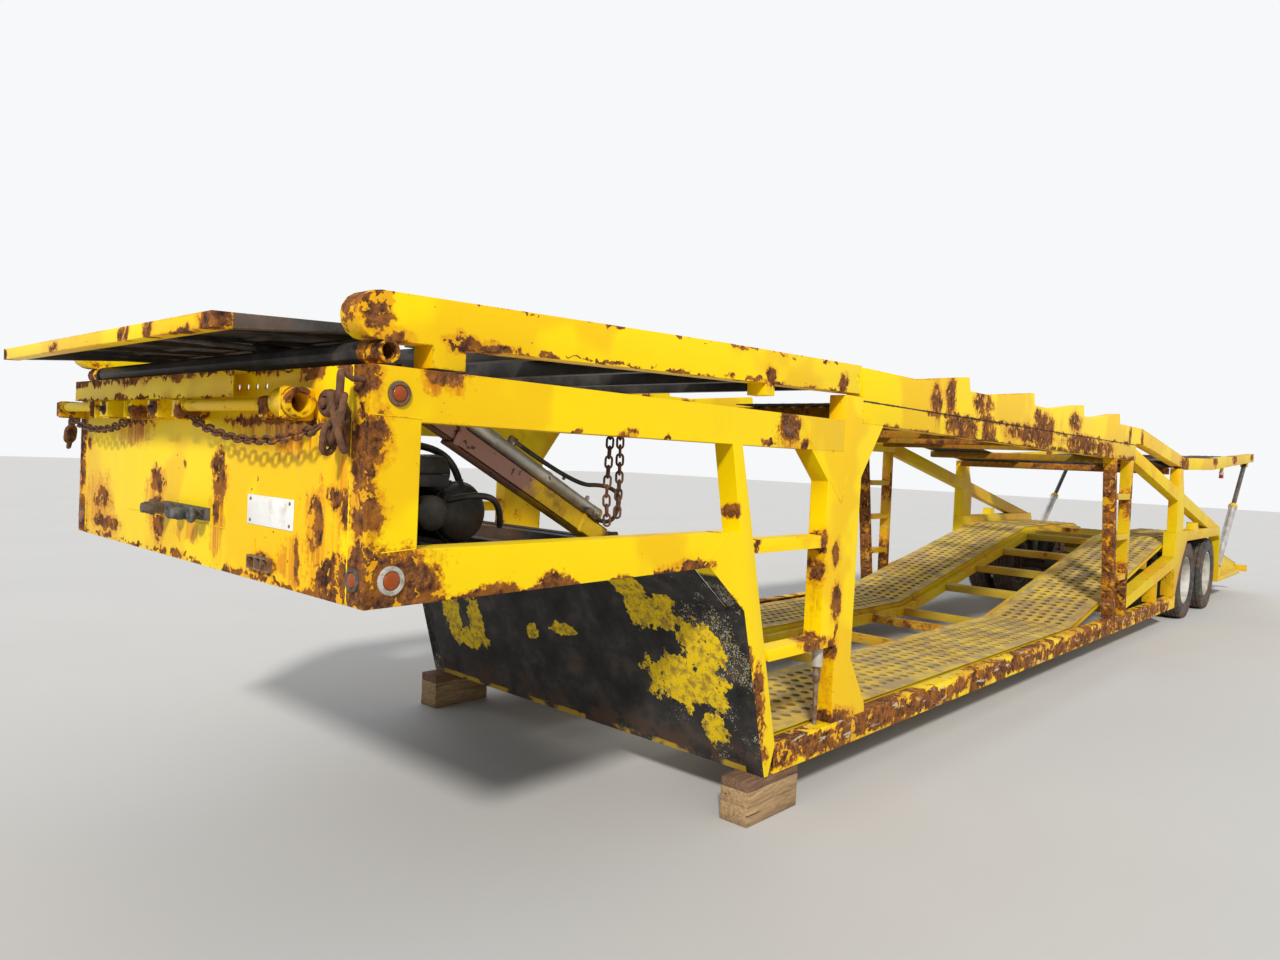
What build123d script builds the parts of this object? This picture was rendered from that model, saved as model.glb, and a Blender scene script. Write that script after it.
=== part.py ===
from build123d import *
from math import ceil, hypot
import os

# Car transporter semi-trailer, in millimetres. +X is forwards, +Y is its left side, +Z is up.
# The origin is on the ground, under the middle of its length and width.
# Stations along the trailer are given as distances behind the nose's front face.

# Driving dimensions
overall_length = 15550
overall_width = 2590
rack_reach = 360
nose_x = overall_length / 2 - rack_reach
half_width = overall_width / 2
tube = 100
inner_y = half_width - tube

# Gooseneck and well, as heights above the ground
nose_bottom = 1182
nose_top = 1885
rail_depth = 158
well_bottom = 206
sill_top = 346
post_front = 2660
post_rear = 2830

# Upper level
fixed_rail_front = 2820
fixed_rail_rear = 8450
bend_top = 2154
front_hinge = (2760, 2100)
rear_hinge = (10440, 1860)
hinge_pin = 20
pin_play = 0.5
member_width = 70
deck_end_back = overall_length - rack_reach

# Lower deck: station and height of the runway's surface at each bend
runway_bends = [(2110, 330), (7000, 330), (10440, 985), (12400, 985), (13550, 690), (15080, 431)]
runway_inner_y = 440
runway_outer_y = 1160
fender_inner_y = 1165
runway_plate = 6
runway_flange = 40

# Lift legs and cylinders: stations and heights of the foot and of the rod's eye
leg_foot = (1270, 1305)
leg_eye = (150, 1890)
leg_y = 980
cylinder_foot = (13020, 470)
cylinder_eye = (14780, 1945)
cylinder_y = 1235
torque_tube = (55, 1926)
rack_cylinder = (450, 1973)

# Running gear
axle_backs = [("front", 11080), ("rear", 12320)]
tyre_radius = 465
rim_radius = 286
twin_spacing = 335
outer_tyre_y = 1135
wheel_y = outer_tyre_y - twin_spacing / 2
wheel_sides = 16

# Round bars are drawn with few sides, as there are many of them
bar_sides = 10
pin_sides = 10

os.makedirs("parts", exist_ok=True)


def behind(points):
    # Side outlines are listed as (distance behind the nose, height).
    return [(nose_x - back, height) for back, height in points]


def height_on(points, back):
    # Height of a line of (back, height) points at a station.
    for (back_a, height_a), (back_b, height_b) in zip(points, points[1:]):
        if back_a <= back <= back_b:
            return height_a + (height_b - height_a) * (back - back_a) / (back_b - back_a)
    raise ValueError("station outside the line")


def lowered(points, drop):
    return [(back, height - drop) for back, height in points]


def side_plane(y):
    # A plane whose sketch is drawn in X and Z, and which extrudes towards -Y.
    return Plane.XZ.offset(-y)


def cross_plane(back):
    # A plane across the trailer, drawn in Y and Z, which extrudes rearwards.
    return Plane(origin=(nose_x - back, 0, 0), x_dir=(0, -1, 0), z_dir=(-1, 0, 0))


def member_under(line, back, drop=0):
    # Section of a square cross member whose top follows a line of (back, height) points.
    edges = (back - member_width / 2, back + member_width / 2)
    top = [(edge, height_on(line, edge) - drop) for edge in edges]
    return behind(top + lowered(top, member_width)[::-1])


def length_between(foot, eye):
    return hypot(foot[0] - eye[0], eye[1] - foot[1])


def section_plane(foot, eye, y, distance):
    # A plane square to the line from foot to eye, at a distance along it. Its own y points away from +X.
    run = length_between(foot, eye)
    toward = ((foot[0] - eye[0]) / run, 0, (eye[1] - foot[1]) / run)
    place = (nose_x - foot[0] + toward[0] * distance, y, foot[1] + toward[2] * distance)
    return Plane(origin=place, x_dir=(0, 1, 0), z_dir=toward)


left_face = side_plane(half_width)


def write(part, name):
    part.label = name
    export_step(part, f"parts/{name}.step")


def write_pair(left_part, name):
    write(left_part, name + "_left")
    write(mirror(left_part, about=Plane.XZ), name + "_right")


# Gooseneck side: corner post, top rail, lower beam and leaning post in one welded frame
gooseneck_outline = [
    (0, nose_bottom), (0, nose_top), (post_front, nose_top), (post_front, nose_top - rail_depth),
    (1790, nose_top - rail_depth), (1900, 1325), (1990, 973), (2150, 369), (2156, sill_top),
    (2110, well_bottom), (2080, well_bottom), (1860, 999), (1600, 1207),
]
gooseneck_opening = [(170, 1350), (170, 1727), (1720, 1727), (1803, 1350)]

with BuildPart() as gooseneck_side:
    with BuildSketch(left_face):
        Polygon(*behind(gooseneck_outline), align=None)
        Polygon(*behind(gooseneck_opening), align=None, mode=Mode.SUBTRACT)
    extrude(amount=tube)
write_pair(gooseneck_side.part, "gooseneck_side")

# Well post: the main post with its wing gusset and flared foot, the inner post and two rungs
post_outline = [
    (post_front, sill_top), (post_front, 745), (2070, 745), (2050, 800), (2518, 800), (2518, 1250),
    (1930, 1250), (1912, 1310), (2518, 1310), (2518, 1578), (2353, nose_top - rail_depth),
    (post_front, nose_top - rail_depth),
    (post_front, 2015), (post_rear, 2015), (post_rear, 1880), (3060, 1880), (post_rear + 15, 1600),
    (post_rear, 660), (3000, 400), (3010, sill_top),
]
with BuildPart() as well_post:
    with BuildSketch(left_face):
        Polygon(*behind(post_outline), align=None)
    extrude(amount=tube)
write_pair(well_post.part, "well_post")

# Short cylinders that stand between the sills and the lower rungs
bay_cylinder_back = 2590
bay_cylinder_y = 1240
with BuildPart() as bay_cylinders:
    for side in (1, -1):
        for bottom, radius, height in ((640, 30, 105), (560, 20, 80), (sill_top, 13, 214)):
            with BuildSketch(Plane.XY.offset(bottom)):
                with Locations((nose_x - bay_cylinder_back, side * bay_cylinder_y)):
                    RegularPolygon(radius, bar_sides)
            extrude(amount=height)
write(bay_cylinders.part, "bay_cylinders")

# Nose wall: plate between the corner posts, a lip and ledge near its top, and a recess low on the left
wall_thickness = 8
ledge_reach = 60
ledge_bottom = 1795
with BuildPart() as nose_wall:
    with BuildSketch(cross_plane(0)):
        with Locations((0, (nose_bottom + nose_top) / 2)):
            Rectangle(2 * inner_y, nose_top - nose_bottom)
        with Locations(*[(-(430 + 70 * hole), 1834) for hole in range(4)]):
            RegularPolygon(11, bar_sides, mode=Mode.SUBTRACT)
    extrude(amount=wall_thickness)
    # Angle along the top, proud of the wall on its right two thirds
    with BuildSketch(cross_plane(-ledge_reach)):
        with Locations((325, (ledge_bottom + nose_top) / 2)):
            Rectangle(1700, nose_top - ledge_bottom)
    extrude(amount=6)
    with BuildSketch(cross_plane(-ledge_reach)):
        with Locations((325, nose_top - 3)):
            Rectangle(1700, 6)
    extrude(amount=ledge_reach)
    # Stiffening channels behind the plate
    with BuildSketch(cross_plane(wall_thickness)):
        with Locations(*[(y, (nose_bottom + nose_top) / 2) for y in (-700, 0, 700)]):
            Rectangle(60, nose_top - nose_bottom - 60)
    extrude(amount=60)
write(nose_wall.part, "nose_wall")

# Coupler plate and gooseneck cross members
coupler_plate_thickness = 12
coupler_rear = 1560
kingpin_back = 760
gooseneck_members = [(300, 90), (620, 90), (980, 90), (1420, 90), (1530, 90)]
leg_lug_height = 150
with BuildPart() as gooseneck_floor:
    with BuildSketch(Plane.XY.offset(nose_bottom)):
        with Locations((nose_x - (wall_thickness + coupler_rear) / 2, 0)):
            Rectangle(coupler_rear - wall_thickness, 2 * inner_y)
    extrude(amount=coupler_plate_thickness)
    for back, depth in gooseneck_members:
        with BuildSketch(Plane.XY.offset(nose_bottom + coupler_plate_thickness)):
            with Locations((nose_x - back, 0)):
                Rectangle(60, 2 * inner_y)
        extrude(amount=depth)
    # Lugs that hold the foot of each lift leg, with the pin through them
    floor_top = nose_bottom + coupler_plate_thickness
    for y in (leg_y + 60, leg_y - 48, -leg_y + 60, -leg_y - 48):
        with BuildSketch(side_plane(y)):
            Polygon(*behind([(leg_foot[0] - 90, floor_top), (leg_foot[0] - 30, floor_top + leg_lug_height),
                             (leg_foot[0] + 30, floor_top + leg_lug_height), (leg_foot[0] + 90, floor_top)]),
                    align=None)
        extrude(amount=12)
    for y in (leg_y + 60, -leg_y + 60):
        with BuildSketch(side_plane(y)):
            with Locations((nose_x - leg_foot[0], leg_foot[1])):
                RegularPolygon(14, pin_sides)
        extrude(amount=120)
write(gooseneck_floor.part, "gooseneck_floor")

kingpin_radius = 25.4
kingpin_length = 36
with BuildPart() as kingpin:
    for drop, radius, length in ((0, 36.5, 24), (24 + kingpin_length, 35.6, 24)):
        with BuildSketch(Plane.XY.offset(nose_bottom - drop)):
            with Locations((nose_x - kingpin_back, 0)):
                RegularPolygon(radius, pin_sides)
        extrude(amount=-length)
    with BuildSketch(Plane.XY.offset(nose_bottom - 24)):
        with Locations((nose_x - kingpin_back, 0)):
            RegularPolygon(kingpin_radius, 24)
    extrude(amount=-kingpin_length)
write(kingpin.part, "kingpin")

# Bulkhead: bent plate from the gooseneck floor down into the well, with a lip along its foot
bulkhead_face = [(1560, nose_bottom), (1600, 1194), (1860, 986), (2080, well_bottom)]
bulkhead_back = [(1560, nose_bottom + 12), (1604, 1204), (1868, 992), (2090, well_bottom + 8),
                 (2106, well_bottom + 8), (2106, well_bottom)]
bulkhead_outline = bulkhead_face + bulkhead_back[::-1]
with BuildPart() as bulkhead:
    with BuildSketch(side_plane(inner_y)):
        Polygon(*behind(bulkhead_outline), align=None)
    extrude(amount=2 * inner_y)
write(bulkhead.part, "bulkhead")

# Air tanks and valve block inside the gooseneck
with BuildPart() as air_gear:
    for back in (330, 640):
        with BuildSketch(side_plane(900)):
            with Locations((nose_x - back, 1420)):
                RegularPolygon(115, pin_sides)
        extrude(amount=620)
        for y in (850, 380):
            with BuildSketch(side_plane(y)):
                with Locations((nose_x - back, 1340)):
                    Rectangle(90, 112)
            extrude(amount=30)
    with BuildSketch(side_plane(100)):
        with Locations((nose_x - 480, 1400)):
            Rectangle(300, 232)
    extrude(amount=420)
write(air_gear.part, "air_gear")

# Tie bars across the nose: brackets, round bars and the hollow tube end
tie_z = 1772
tie_reach = 60
tie_brackets = [(-1250, 60), (-760, 70), (-610, 110), (-330, 90), (-60, 110), (160, 70), (850, 50)]
tie_bars_runs = [(-1220, -795), (195, 825)]
with BuildPart() as tie_bars:
    for y, width in tie_brackets:
        with BuildSketch(cross_plane(-110)):
            with Locations((-y, tie_z - 18)):
                Rectangle(width, 80)
        extrude(amount=110)
    for y_from, y_to in tie_bars_runs:
        with BuildSketch(side_plane(y_to)):
            with Locations((nose_x + 80, tie_z)):
                RegularPolygon(16, bar_sides)
        extrude(amount=y_to - y_from)
    with BuildSketch(side_plane(1010)):
        with Locations((nose_x + 60, tie_z)):
            RegularPolygon(48, pin_sides)
            RegularPolygon(30, pin_sides, mode=Mode.SUBTRACT)
    extrude(amount=135)
write(tie_bars.part, "tie_bars")

# Air couplings on the nose
with BuildPart() as nose_couplings:
    with BuildSketch(cross_plane(-20)):
        with Locations((-20, 1375)):
            Rectangle(420, 50)
    extrude(amount=20)
    for y in (-180, 0, 200):
        with BuildSketch(cross_plane(-70)):
            with Locations((-y, 1375)):
                RegularPolygon(34, bar_sides)
        extrude(amount=50)
    for y in (-140, 160):
        with BuildSketch(cross_plane(-110)):
            with Locations((-y, 1375)):
                RegularPolygon(24, bar_sides)
        extrude(amount=90)
write(nose_couplings.part, "nose_couplings")

# Side sills: channels that open inwards
sill_front = 2156
sill_rear = 10310
sill_width = 80
sill_web = 8
sill_flange = 10
sill_middle = (well_bottom + sill_top) / 2
with BuildPart() as sills:
    for side in (1, -1):
        with BuildSketch(cross_plane(sill_front)):
            with Locations((-side * (half_width - sill_width / 2), sill_middle)):
                Rectangle(sill_width, sill_top - well_bottom)
            with Locations((-side * (half_width - (sill_width + sill_web) / 2), sill_middle)):
                Rectangle(sill_width - sill_web, sill_top - well_bottom - 2 * sill_flange, mode=Mode.SUBTRACT)
        extrude(amount=sill_rear - sill_front)
write(sills.part, "sills")

# Ladders: a leaning and an upright post that stand closer together at the foot, with three rungs
ladder_top = 1838
front_post = [(7530, ladder_top), (7610, ladder_top), (7850, sill_top), (7755, sill_top)]
back_post = [(8125, ladder_top), (8190, ladder_top), (8208, sill_top), (8140, sill_top)]
# Rungs as (height, front end, rear end)
rungs = [(720, 7770, 8150), (1106, 7710, 8145), (1486, 7650, 8140)]
rung_height = 55
with BuildPart() as ladders:
    for side_y in (half_width, -inner_y):
        with BuildSketch(side_plane(side_y)):
            Polygon(*behind(front_post), align=None)
            Polygon(*behind(back_post), align=None)
            for height, front, rear in rungs:
                with Locations((nose_x - (front + rear) / 2, height)):
                    Rectangle(rear - front, rung_height)
        extrude(amount=tube)
write(ladders.part, "ladders")

# Rear frames: broad post under the rear hinge and the long diagonal that runs down to the fender
diagonal = [(8240, ladder_top - 20), (8240, 1952), (12700, 1080), (12700, 1075), (11980, 1075)]
rear_post = [(10190, 1075), (10190, 1800), (10360, 1800), (10520, 1400), (10520, 1075)]
with BuildPart() as rear_frames:
    for side_y in (half_width, -inner_y):
        with BuildSketch(side_plane(side_y)):
            Polygon(*behind(rear_post), align=None)
            Polygon(*behind(diagonal), align=None)
        extrude(amount=tube)
write(rear_frames.part, "rear_frames")

# Fenders: box beam over the twin wheels with a flared leg in front and a narrow one behind
fender_outline = [
    (10190, sill_top), (10190, 1075), (12760, 1075), (12840, 950), (12840, 322), (12810, 322), (12810, 900),
    (12700, 955), (10780, 955), (10560, 740), (10450, 600), (10300, sill_top),
]
brace_outline = [(8210, 400), (8210, 505), (10190, 800), (10190, 670)]
brace_prop_back = 9400
with BuildPart() as fenders:
    for side_y in (half_width, -fender_inner_y):
        with BuildSketch(side_plane(side_y)):
            Polygon(*behind(fender_outline), align=None)
            Polygon(*behind(brace_outline), align=None)
            with Locations((nose_x - brace_prop_back, 460)):
                Rectangle(60, 2 * (460 - sill_top))
        extrude(amount=half_width - fender_inner_y)
    for side_y in (half_width, -inner_y):
        with BuildSketch(side_plane(side_y)):
            Polygon(*behind([(11180, 1075), (11380, 1075), (11340, 1160), (11210, 1160)]), align=None)
        extrude(amount=tube)
write(fenders.part, "fenders")

# Fixed upper rails: lower member, upper member with four wheel stops, and the falling part behind the bend
rail_stops = [(3280, 4170), (4330, 5350), (5640, 6530), (6760, 7610)]
stop_height = 85
rail_end = rear_hinge[0] - 60
lower_member = [
    (post_rear, 1880), (post_rear, 2022), (8240, 2006), (8240, ladder_top), (7400, ladder_top), (3060, 1880),
]
upper_member = [(fixed_rail_front, 2017), (fixed_rail_front, 2167), (fixed_rail_rear, bend_top),
                (rail_end, 1930), (rail_end, 1800), (fixed_rail_rear + 20, 2000)]
with BuildPart() as upper_rails:
    for side_y in (half_width, -inner_y):
        with BuildSketch(side_plane(side_y)):
            Polygon(*behind(lower_member), align=None)
            Polygon(*behind(upper_member), align=None)
            for front, rear in rail_stops:
                Polygon(*behind([(front, 2150), (rear - 40, 2160 + stop_height), (rear, 2160 + stop_height),
                                 (rear + 30, 2150)]), align=None)
        extrude(amount=tube)
    # Hinge lugs inside the rails, with a pin that runs out through the swinging deck's rail
    for (pin_back, pin_z), weld_from, weld_to in ((front_hinge, 2850, 2960), (rear_hinge, 10250, 10370)):
        for lug_y, weld_y, pin_y in (
            (inner_y - 5, inner_y + 2, half_width), (-inner_y + 45, -inner_y + 10, -inner_y + 45),
        ):
            with BuildSketch(side_plane(lug_y)):
                with Locations((nose_x - (pin_back + (weld_from + weld_to) / 2) / 2, pin_z)):
                    Rectangle(abs((weld_from + weld_to) / 2 - pin_back) + 60, 60)
            extrude(amount=40)
            with BuildSketch(side_plane(weld_y)):
                with Locations((nose_x - (weld_from + weld_to) / 2, pin_z)):
                    Rectangle(weld_to - weld_from, 60)
            extrude(amount=12)
            with BuildSketch(side_plane(pin_y)):
                with Locations((nose_x - pin_back, pin_z)):
                    RegularPolygon(hinge_pin, pin_sides)
            extrude(amount=tube + 45)
write(upper_rails.part, "upper_rails")

# Middle deck: two runways between the fixed rails, on cross members
middle_line = [(2870, 1990), (8400, 1975), (10200, 1800)]
deck_plate = 8
upper_runway_outer_y = 1150
upper_runway_inner_y = 450
upper_runway_width = upper_runway_outer_y - upper_runway_inner_y
with BuildPart() as middle_deck_floor:
    for y in (upper_runway_outer_y, -upper_runway_inner_y):
        with BuildSketch(side_plane(y)):
            Polygon(*behind(middle_line + lowered(middle_line, deck_plate)[::-1]), align=None)
        extrude(amount=upper_runway_width)
write(middle_deck_floor.part, "middle_deck_floor")

middle_members = [3050, 4200, 5450, 6700, 7950, 9200, 10120]
with BuildPart() as middle_deck_members:
    for back in middle_members:
        with BuildSketch(side_plane(inner_y)):
            Polygon(*member_under(middle_line, back, deck_plate), align=None)
        extrude(amount=2 * inner_y)
write(middle_deck_members.part, "middle_deck_members")

# Inner beams under the inner edges of the lower runways, bent as the runways are
beam_depth = 84
beam_outer_y = 440
beam_inner_y = 360
beam_top = lowered(runway_bends, runway_flange)
beam_bottom = lowered(beam_top, beam_depth)
with BuildPart() as inner_beams:
    for y in (beam_outer_y, -beam_inner_y):
        with BuildSketch(side_plane(y)):
            Polygon(*behind(beam_top + beam_bottom[::-1]), align=None)
        extrude(amount=beam_outer_y - beam_inner_y)
write(inner_beams.part, "inner_beams")

# Cross members between the beams, and outriggers from them to the sills or to the runways' outer edges
tail_inner_y = 1105
level_members = [2300, 3300, 4300, 5300, 6300, 6940]
ramp_members = [7900, 8700, 9500, 10300]
axle_members = [10600, 11700, 12560]
tail_members = [13900, 14950]
member_drop = 6
with BuildPart() as cross_members:
    for backs, reach in (
        (level_members, half_width - sill_width), (ramp_members, runway_outer_y),
        (tail_members, tail_inner_y), (axle_members, 0),
    ):
        for back in backs:
            spans = [(-beam_inner_y, beam_inner_y)]
            if reach:
                spans += [(beam_outer_y, reach), (-reach, -beam_outer_y)]
            for y_from, y_to in spans:
                with BuildSketch(side_plane(y_to)):
                    Polygon(*member_under(beam_top, back, member_drop if reach else 0), align=None)
                extrude(amount=y_to - y_from)
write(cross_members.part, "cross_members")

# Lower runways: slotted plates with turned-down edges, cut straight down through every slope
slot_pitch = 1200
slot_length = 150
slot_width = 80
slots_across = 3
slot_rows = 10
runway_width = runway_outer_y - runway_inner_y
slot_rows_middle = runway_bends[0][0] + slot_pitch * slot_rows / 2
with BuildPart() as lower_runways:
    for side_y in (runway_outer_y, -runway_inner_y):
        with BuildSketch(side_plane(side_y)):
            Polygon(*behind(runway_bends + lowered(runway_bends, runway_plate)[::-1]), align=None)
        extrude(amount=runway_width)
    for side in (1, -1):
        with BuildSketch(Plane.XY.offset(bend_top)):
            with Locations((nose_x - slot_rows_middle, side * (runway_inner_y + runway_width / 2))):
                with GridLocations(slot_pitch, runway_width / (slots_across + 1), slot_rows, slots_across):
                    Rectangle(slot_width, slot_length)
        extrude(amount=-bend_top, mode=Mode.SUBTRACT)
    for side_y in (runway_outer_y, runway_inner_y + 6, -runway_inner_y, -runway_outer_y + 6):
        with BuildSketch(side_plane(side_y)):
            Polygon(*behind(runway_bends + lowered(runway_bends, runway_flange)[::-1]), align=None)
        extrude(amount=6)
write(lower_runways.part, "lower_runways")

# Tail frame: tapering side plates behind the wheels and the rear beam
tail_outline = [(12845, 322), (12845, 820), (13550, 640), (15080, 380), (15080, 340), (14510, 322)]
low_rail = [(12845, 322), (12845, 380), (14510, 380), (14510, 322)]
with BuildPart() as tail_frame:
    for side_y in (fender_inner_y, -tail_inner_y):
        with BuildSketch(side_plane(side_y)):
            Polygon(*behind(tail_outline), align=None)
        extrude(amount=fender_inner_y - tail_inner_y)
    for side_y in (half_width, -fender_inner_y):
        with BuildSketch(side_plane(side_y)):
            Polygon(*behind(low_rail), align=None)
        extrude(amount=half_width - fender_inner_y)
    # Lugs and pin that hold the foot of each long cylinder
    for y in (cylinder_y + 47, cylinder_y - 35, -cylinder_y + 47, -cylinder_y - 35):
        with BuildSketch(side_plane(y)):
            Polygon(*behind([(cylinder_foot[0] - 80, 380), (cylinder_foot[0] - 35, 510),
                             (cylinder_foot[0] + 35, 510), (cylinder_foot[0] + 80, 380)]), align=None)
        extrude(amount=12)
    for y in (cylinder_y + 47, -cylinder_y + 47):
        with BuildSketch(side_plane(y)):
            with Locations((nose_x - cylinder_foot[0], cylinder_foot[1])):
                RegularPolygon(hinge_pin, pin_sides)
        extrude(amount=94)
    with BuildSketch(side_plane(half_width)):
        with Locations((nose_x - 15130, 360)):
            Rectangle(100, 90)
    extrude(amount=2 * half_width)
write(tail_frame.part, "tail_frame")

# Axles: beam and spindles, backing plates and brake chambers
spindle_reach = 760
spindle_radius = 40
backing_plate_y = 655
chamber_back = 280
with BuildPart() as axles:
    for name, back in axle_backs:
        for reach, radius in ((backing_plate_y, 60), (spindle_reach, spindle_radius)):
            with BuildSketch(side_plane(reach)):
                with Locations((nose_x - back, tyre_radius)):
                    RegularPolygon(radius, bar_sides)
            extrude(amount=2 * reach)
        for y in (backing_plate_y, -backing_plate_y + 15):
            with BuildSketch(side_plane(y)):
                with Locations((nose_x - back, tyre_radius)):
                    RegularPolygon(195, bar_sides)
            extrude(amount=15)
        for y in (270, -270):
            for radius, length in ((78, 150), (28, chamber_back)):
                with BuildSketch(Plane.YZ.offset(nose_x - back - chamber_back)):
                    with Locations((y, tyre_radius + 20)):
                        RegularPolygon(radius, bar_sides)
                extrude(amount=length)
write(axles.part, "axles")

# Suspension: leaf packs that bend over the axles, and the hangers under the inner beams
hanger_backs = [10600, 11700, 12780]
leaf_reach = 560
leaf_top = tyre_radius + 60
with BuildPart() as suspension:
    for side_y in (440, -360):
        for name, back in axle_backs:
            with BuildSketch(side_plane(side_y)):
                Polygon(*behind([(back - leaf_reach, 600), (back - leaf_reach, 625),
                                 (back - 60, leaf_top + 34), (back + 60, leaf_top + 34),
                                 (back + leaf_reach, 625), (back + leaf_reach, 600),
                                 (back + 60, leaf_top), (back - 60, leaf_top)]), align=None)
            extrude(amount=80)
        for back in hanger_backs:
            with BuildSketch(side_plane(side_y)):
                Polygon(*behind([(back - 110, height_on(beam_bottom, back - 110)),
                                 (back + 110, height_on(beam_bottom, back + 110)),
                                 (back + 60, 600), (back - 60, 600)]), align=None)
            extrude(amount=80)
write(suspension.part, "suspension")

# Twin wheels, with a 16-sided outline: two tyres, and between them the rims, dished discs, hub and brake drum
tyre_half = 127
shoulder_width = 27
shoulder_drop = 45
bead_width = 31
bead_drop = 40
rim_half = 104
disc_thickness = 14
disc_depth = 78
disc_edge_y = 90
dish_width = 70
dish_drop = 129
hub_radius = 84
hub_reach = 60
hub_cap_radius = 62
hub_cap_reach = 130
drum_radius = 215
drum_inner_y = 668
drum_width = 132
spindle_play = 6

for axle_name, back in axle_backs:
    axle_place = (nose_x - back, tyre_radius)
    with BuildPart() as tyres:
        with BuildSketch(side_plane(outer_tyre_y + tyre_half)):
            with Locations(axle_place):
                RegularPolygon(tyre_radius, wheel_sides)
                RegularPolygon(rim_radius, wheel_sides, mode=Mode.SUBTRACT)
        extrude(amount=2 * tyre_half)
        for end in (0, -1):
            sidewall = tyres.faces().sort_by(Axis.Y)[end]
            chamfer(sidewall.outer_wire().edges(), shoulder_drop, shoulder_width, reference=sidewall)
            sidewall = tyres.faces().sort_by(Axis.Y)[end]
            chamfer(sidewall.inner_wires()[0].edges(), bead_drop, bead_width, reference=sidewall)
        mirror(about=side_plane(wheel_y))
    write_pair(tyres.part, "tyres_" + axle_name)

    with BuildPart() as rims:
        # The outer wheel's disc is a shallow cup that opens outwards
        with BuildSketch(side_plane(wheel_y + disc_edge_y)):
            with Locations(axle_place):
                RegularPolygon(rim_radius - disc_thickness / 2, wheel_sides)
        extrude(amount=disc_depth)
        seat = rims.faces().sort_by(Axis.Y)[0]
        chamfer(seat.edges(), dish_drop, dish_width, reference=seat)
        offset(amount=-disc_thickness, openings=rims.faces().sort_by(Axis.Y)[-1])
        with BuildSketch(side_plane(outer_tyre_y + rim_half)):
            with Locations(axle_place):
                RegularPolygon(rim_radius, wheel_sides)
                RegularPolygon(rim_radius - disc_thickness, wheel_sides, mode=Mode.SUBTRACT)
        extrude(amount=2 * rim_half)
        mirror(about=side_plane(wheel_y))
        for y, radius, width in (
            (wheel_y + hub_cap_reach, hub_cap_radius, hub_cap_reach),
            (wheel_y + hub_reach, hub_radius, wheel_y + hub_reach - drum_inner_y),
            (drum_inner_y + drum_width, drum_radius, drum_width),
        ):
            with BuildSketch(side_plane(y)):
                with Locations(axle_place):
                    RegularPolygon(radius, bar_sides)
            extrude(amount=width)
        with BuildSketch(side_plane(spindle_reach + spindle_play)):
            with Locations(axle_place):
                RegularPolygon(spindle_radius + spindle_play, bar_sides, major_radius=False)
        extrude(amount=spindle_reach + spindle_play - drum_inner_y, mode=Mode.SUBTRACT)
    write_pair(rims.part, "rims_" + axle_name)

# Front deck: side beams with half-round noses, torque tube, cross members and the leg ears
beam_underside = [(20, 1955), (2795, 2031)]
beam_upperside = [(20, 2095), (1600, 2146), (2795, 2174)]
deck_floor_line = [(640, 2046), (2700, 2103)]
with BuildPart() as front_deck_frame:
    for side_y in (half_width, -inner_y):
        with BuildSketch(side_plane(side_y)):
            Polygon(*behind(beam_upperside + beam_underside[::-1]), align=None)
            with Locations((nose_x - 20, 2025)):
                RegularPolygon(70, wheel_sides)
            with Locations((nose_x - 260, 1932)):
                Rectangle(120, 80)
            with Locations((nose_x - 1975, 2000)):
                Rectangle(70, 90)
            with Locations((nose_x - front_hinge[0], front_hinge[1])):
                RegularPolygon(hinge_pin + pin_play, pin_sides, major_radius=False, mode=Mode.SUBTRACT)
        extrude(amount=tube)
    with BuildSketch(side_plane(half_width)):
        with Locations((nose_x - torque_tube[0], torque_tube[1])):
            RegularPolygon(35, bar_sides)
            RegularPolygon(26, bar_sides, mode=Mode.SUBTRACT)
    extrude(amount=2 * half_width)
    with BuildSketch(side_plane(inner_y)):
        for back in (700, 1300, 1900, 2500):
            Polygon(*member_under(deck_floor_line, back), align=None)
    extrude(amount=2 * inner_y)
    for y in (leg_y + 50, leg_y - 38, -leg_y + 50, -leg_y - 38):
        with BuildSketch(side_plane(y)):
            Polygon(*behind([(torque_tube[0] - 10, 1896), (torque_tube[0] - 10, 1950),
                             (leg_eye[0] + 30, leg_eye[1] + 30), (leg_eye[0] + 30, leg_eye[1] - 30),
                             (leg_eye[0] - 30, leg_eye[1] - 30)]), align=None)
        extrude(amount=12)
    # Barrel of the rack's cylinder, on top of the torque tube, with its rear bracket
    with BuildSketch(cross_plane(40)):
        with Locations((-rack_cylinder[0], rack_cylinder[1])):
            RegularPolygon(20, bar_sides)
            RegularPolygon(16, bar_sides, mode=Mode.SUBTRACT)
    extrude(amount=400)
    with BuildSketch(cross_plane(430)):
        with Locations((-rack_cylinder[0], rack_cylinder[1])):
            Rectangle(60, 50)
    extrude(amount=260)
write(front_deck_frame.part, "front_deck_frame")

with BuildPart() as front_deck_floor:
    for y in (upper_runway_outer_y, -upper_runway_inner_y):
        with BuildSketch(side_plane(y)):
            Polygon(*behind(deck_floor_line + lowered(deck_floor_line, -deck_plate)[::-1]), align=None)
        extrude(amount=upper_runway_width)
write(front_deck_floor.part, "front_deck_floor")

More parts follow.
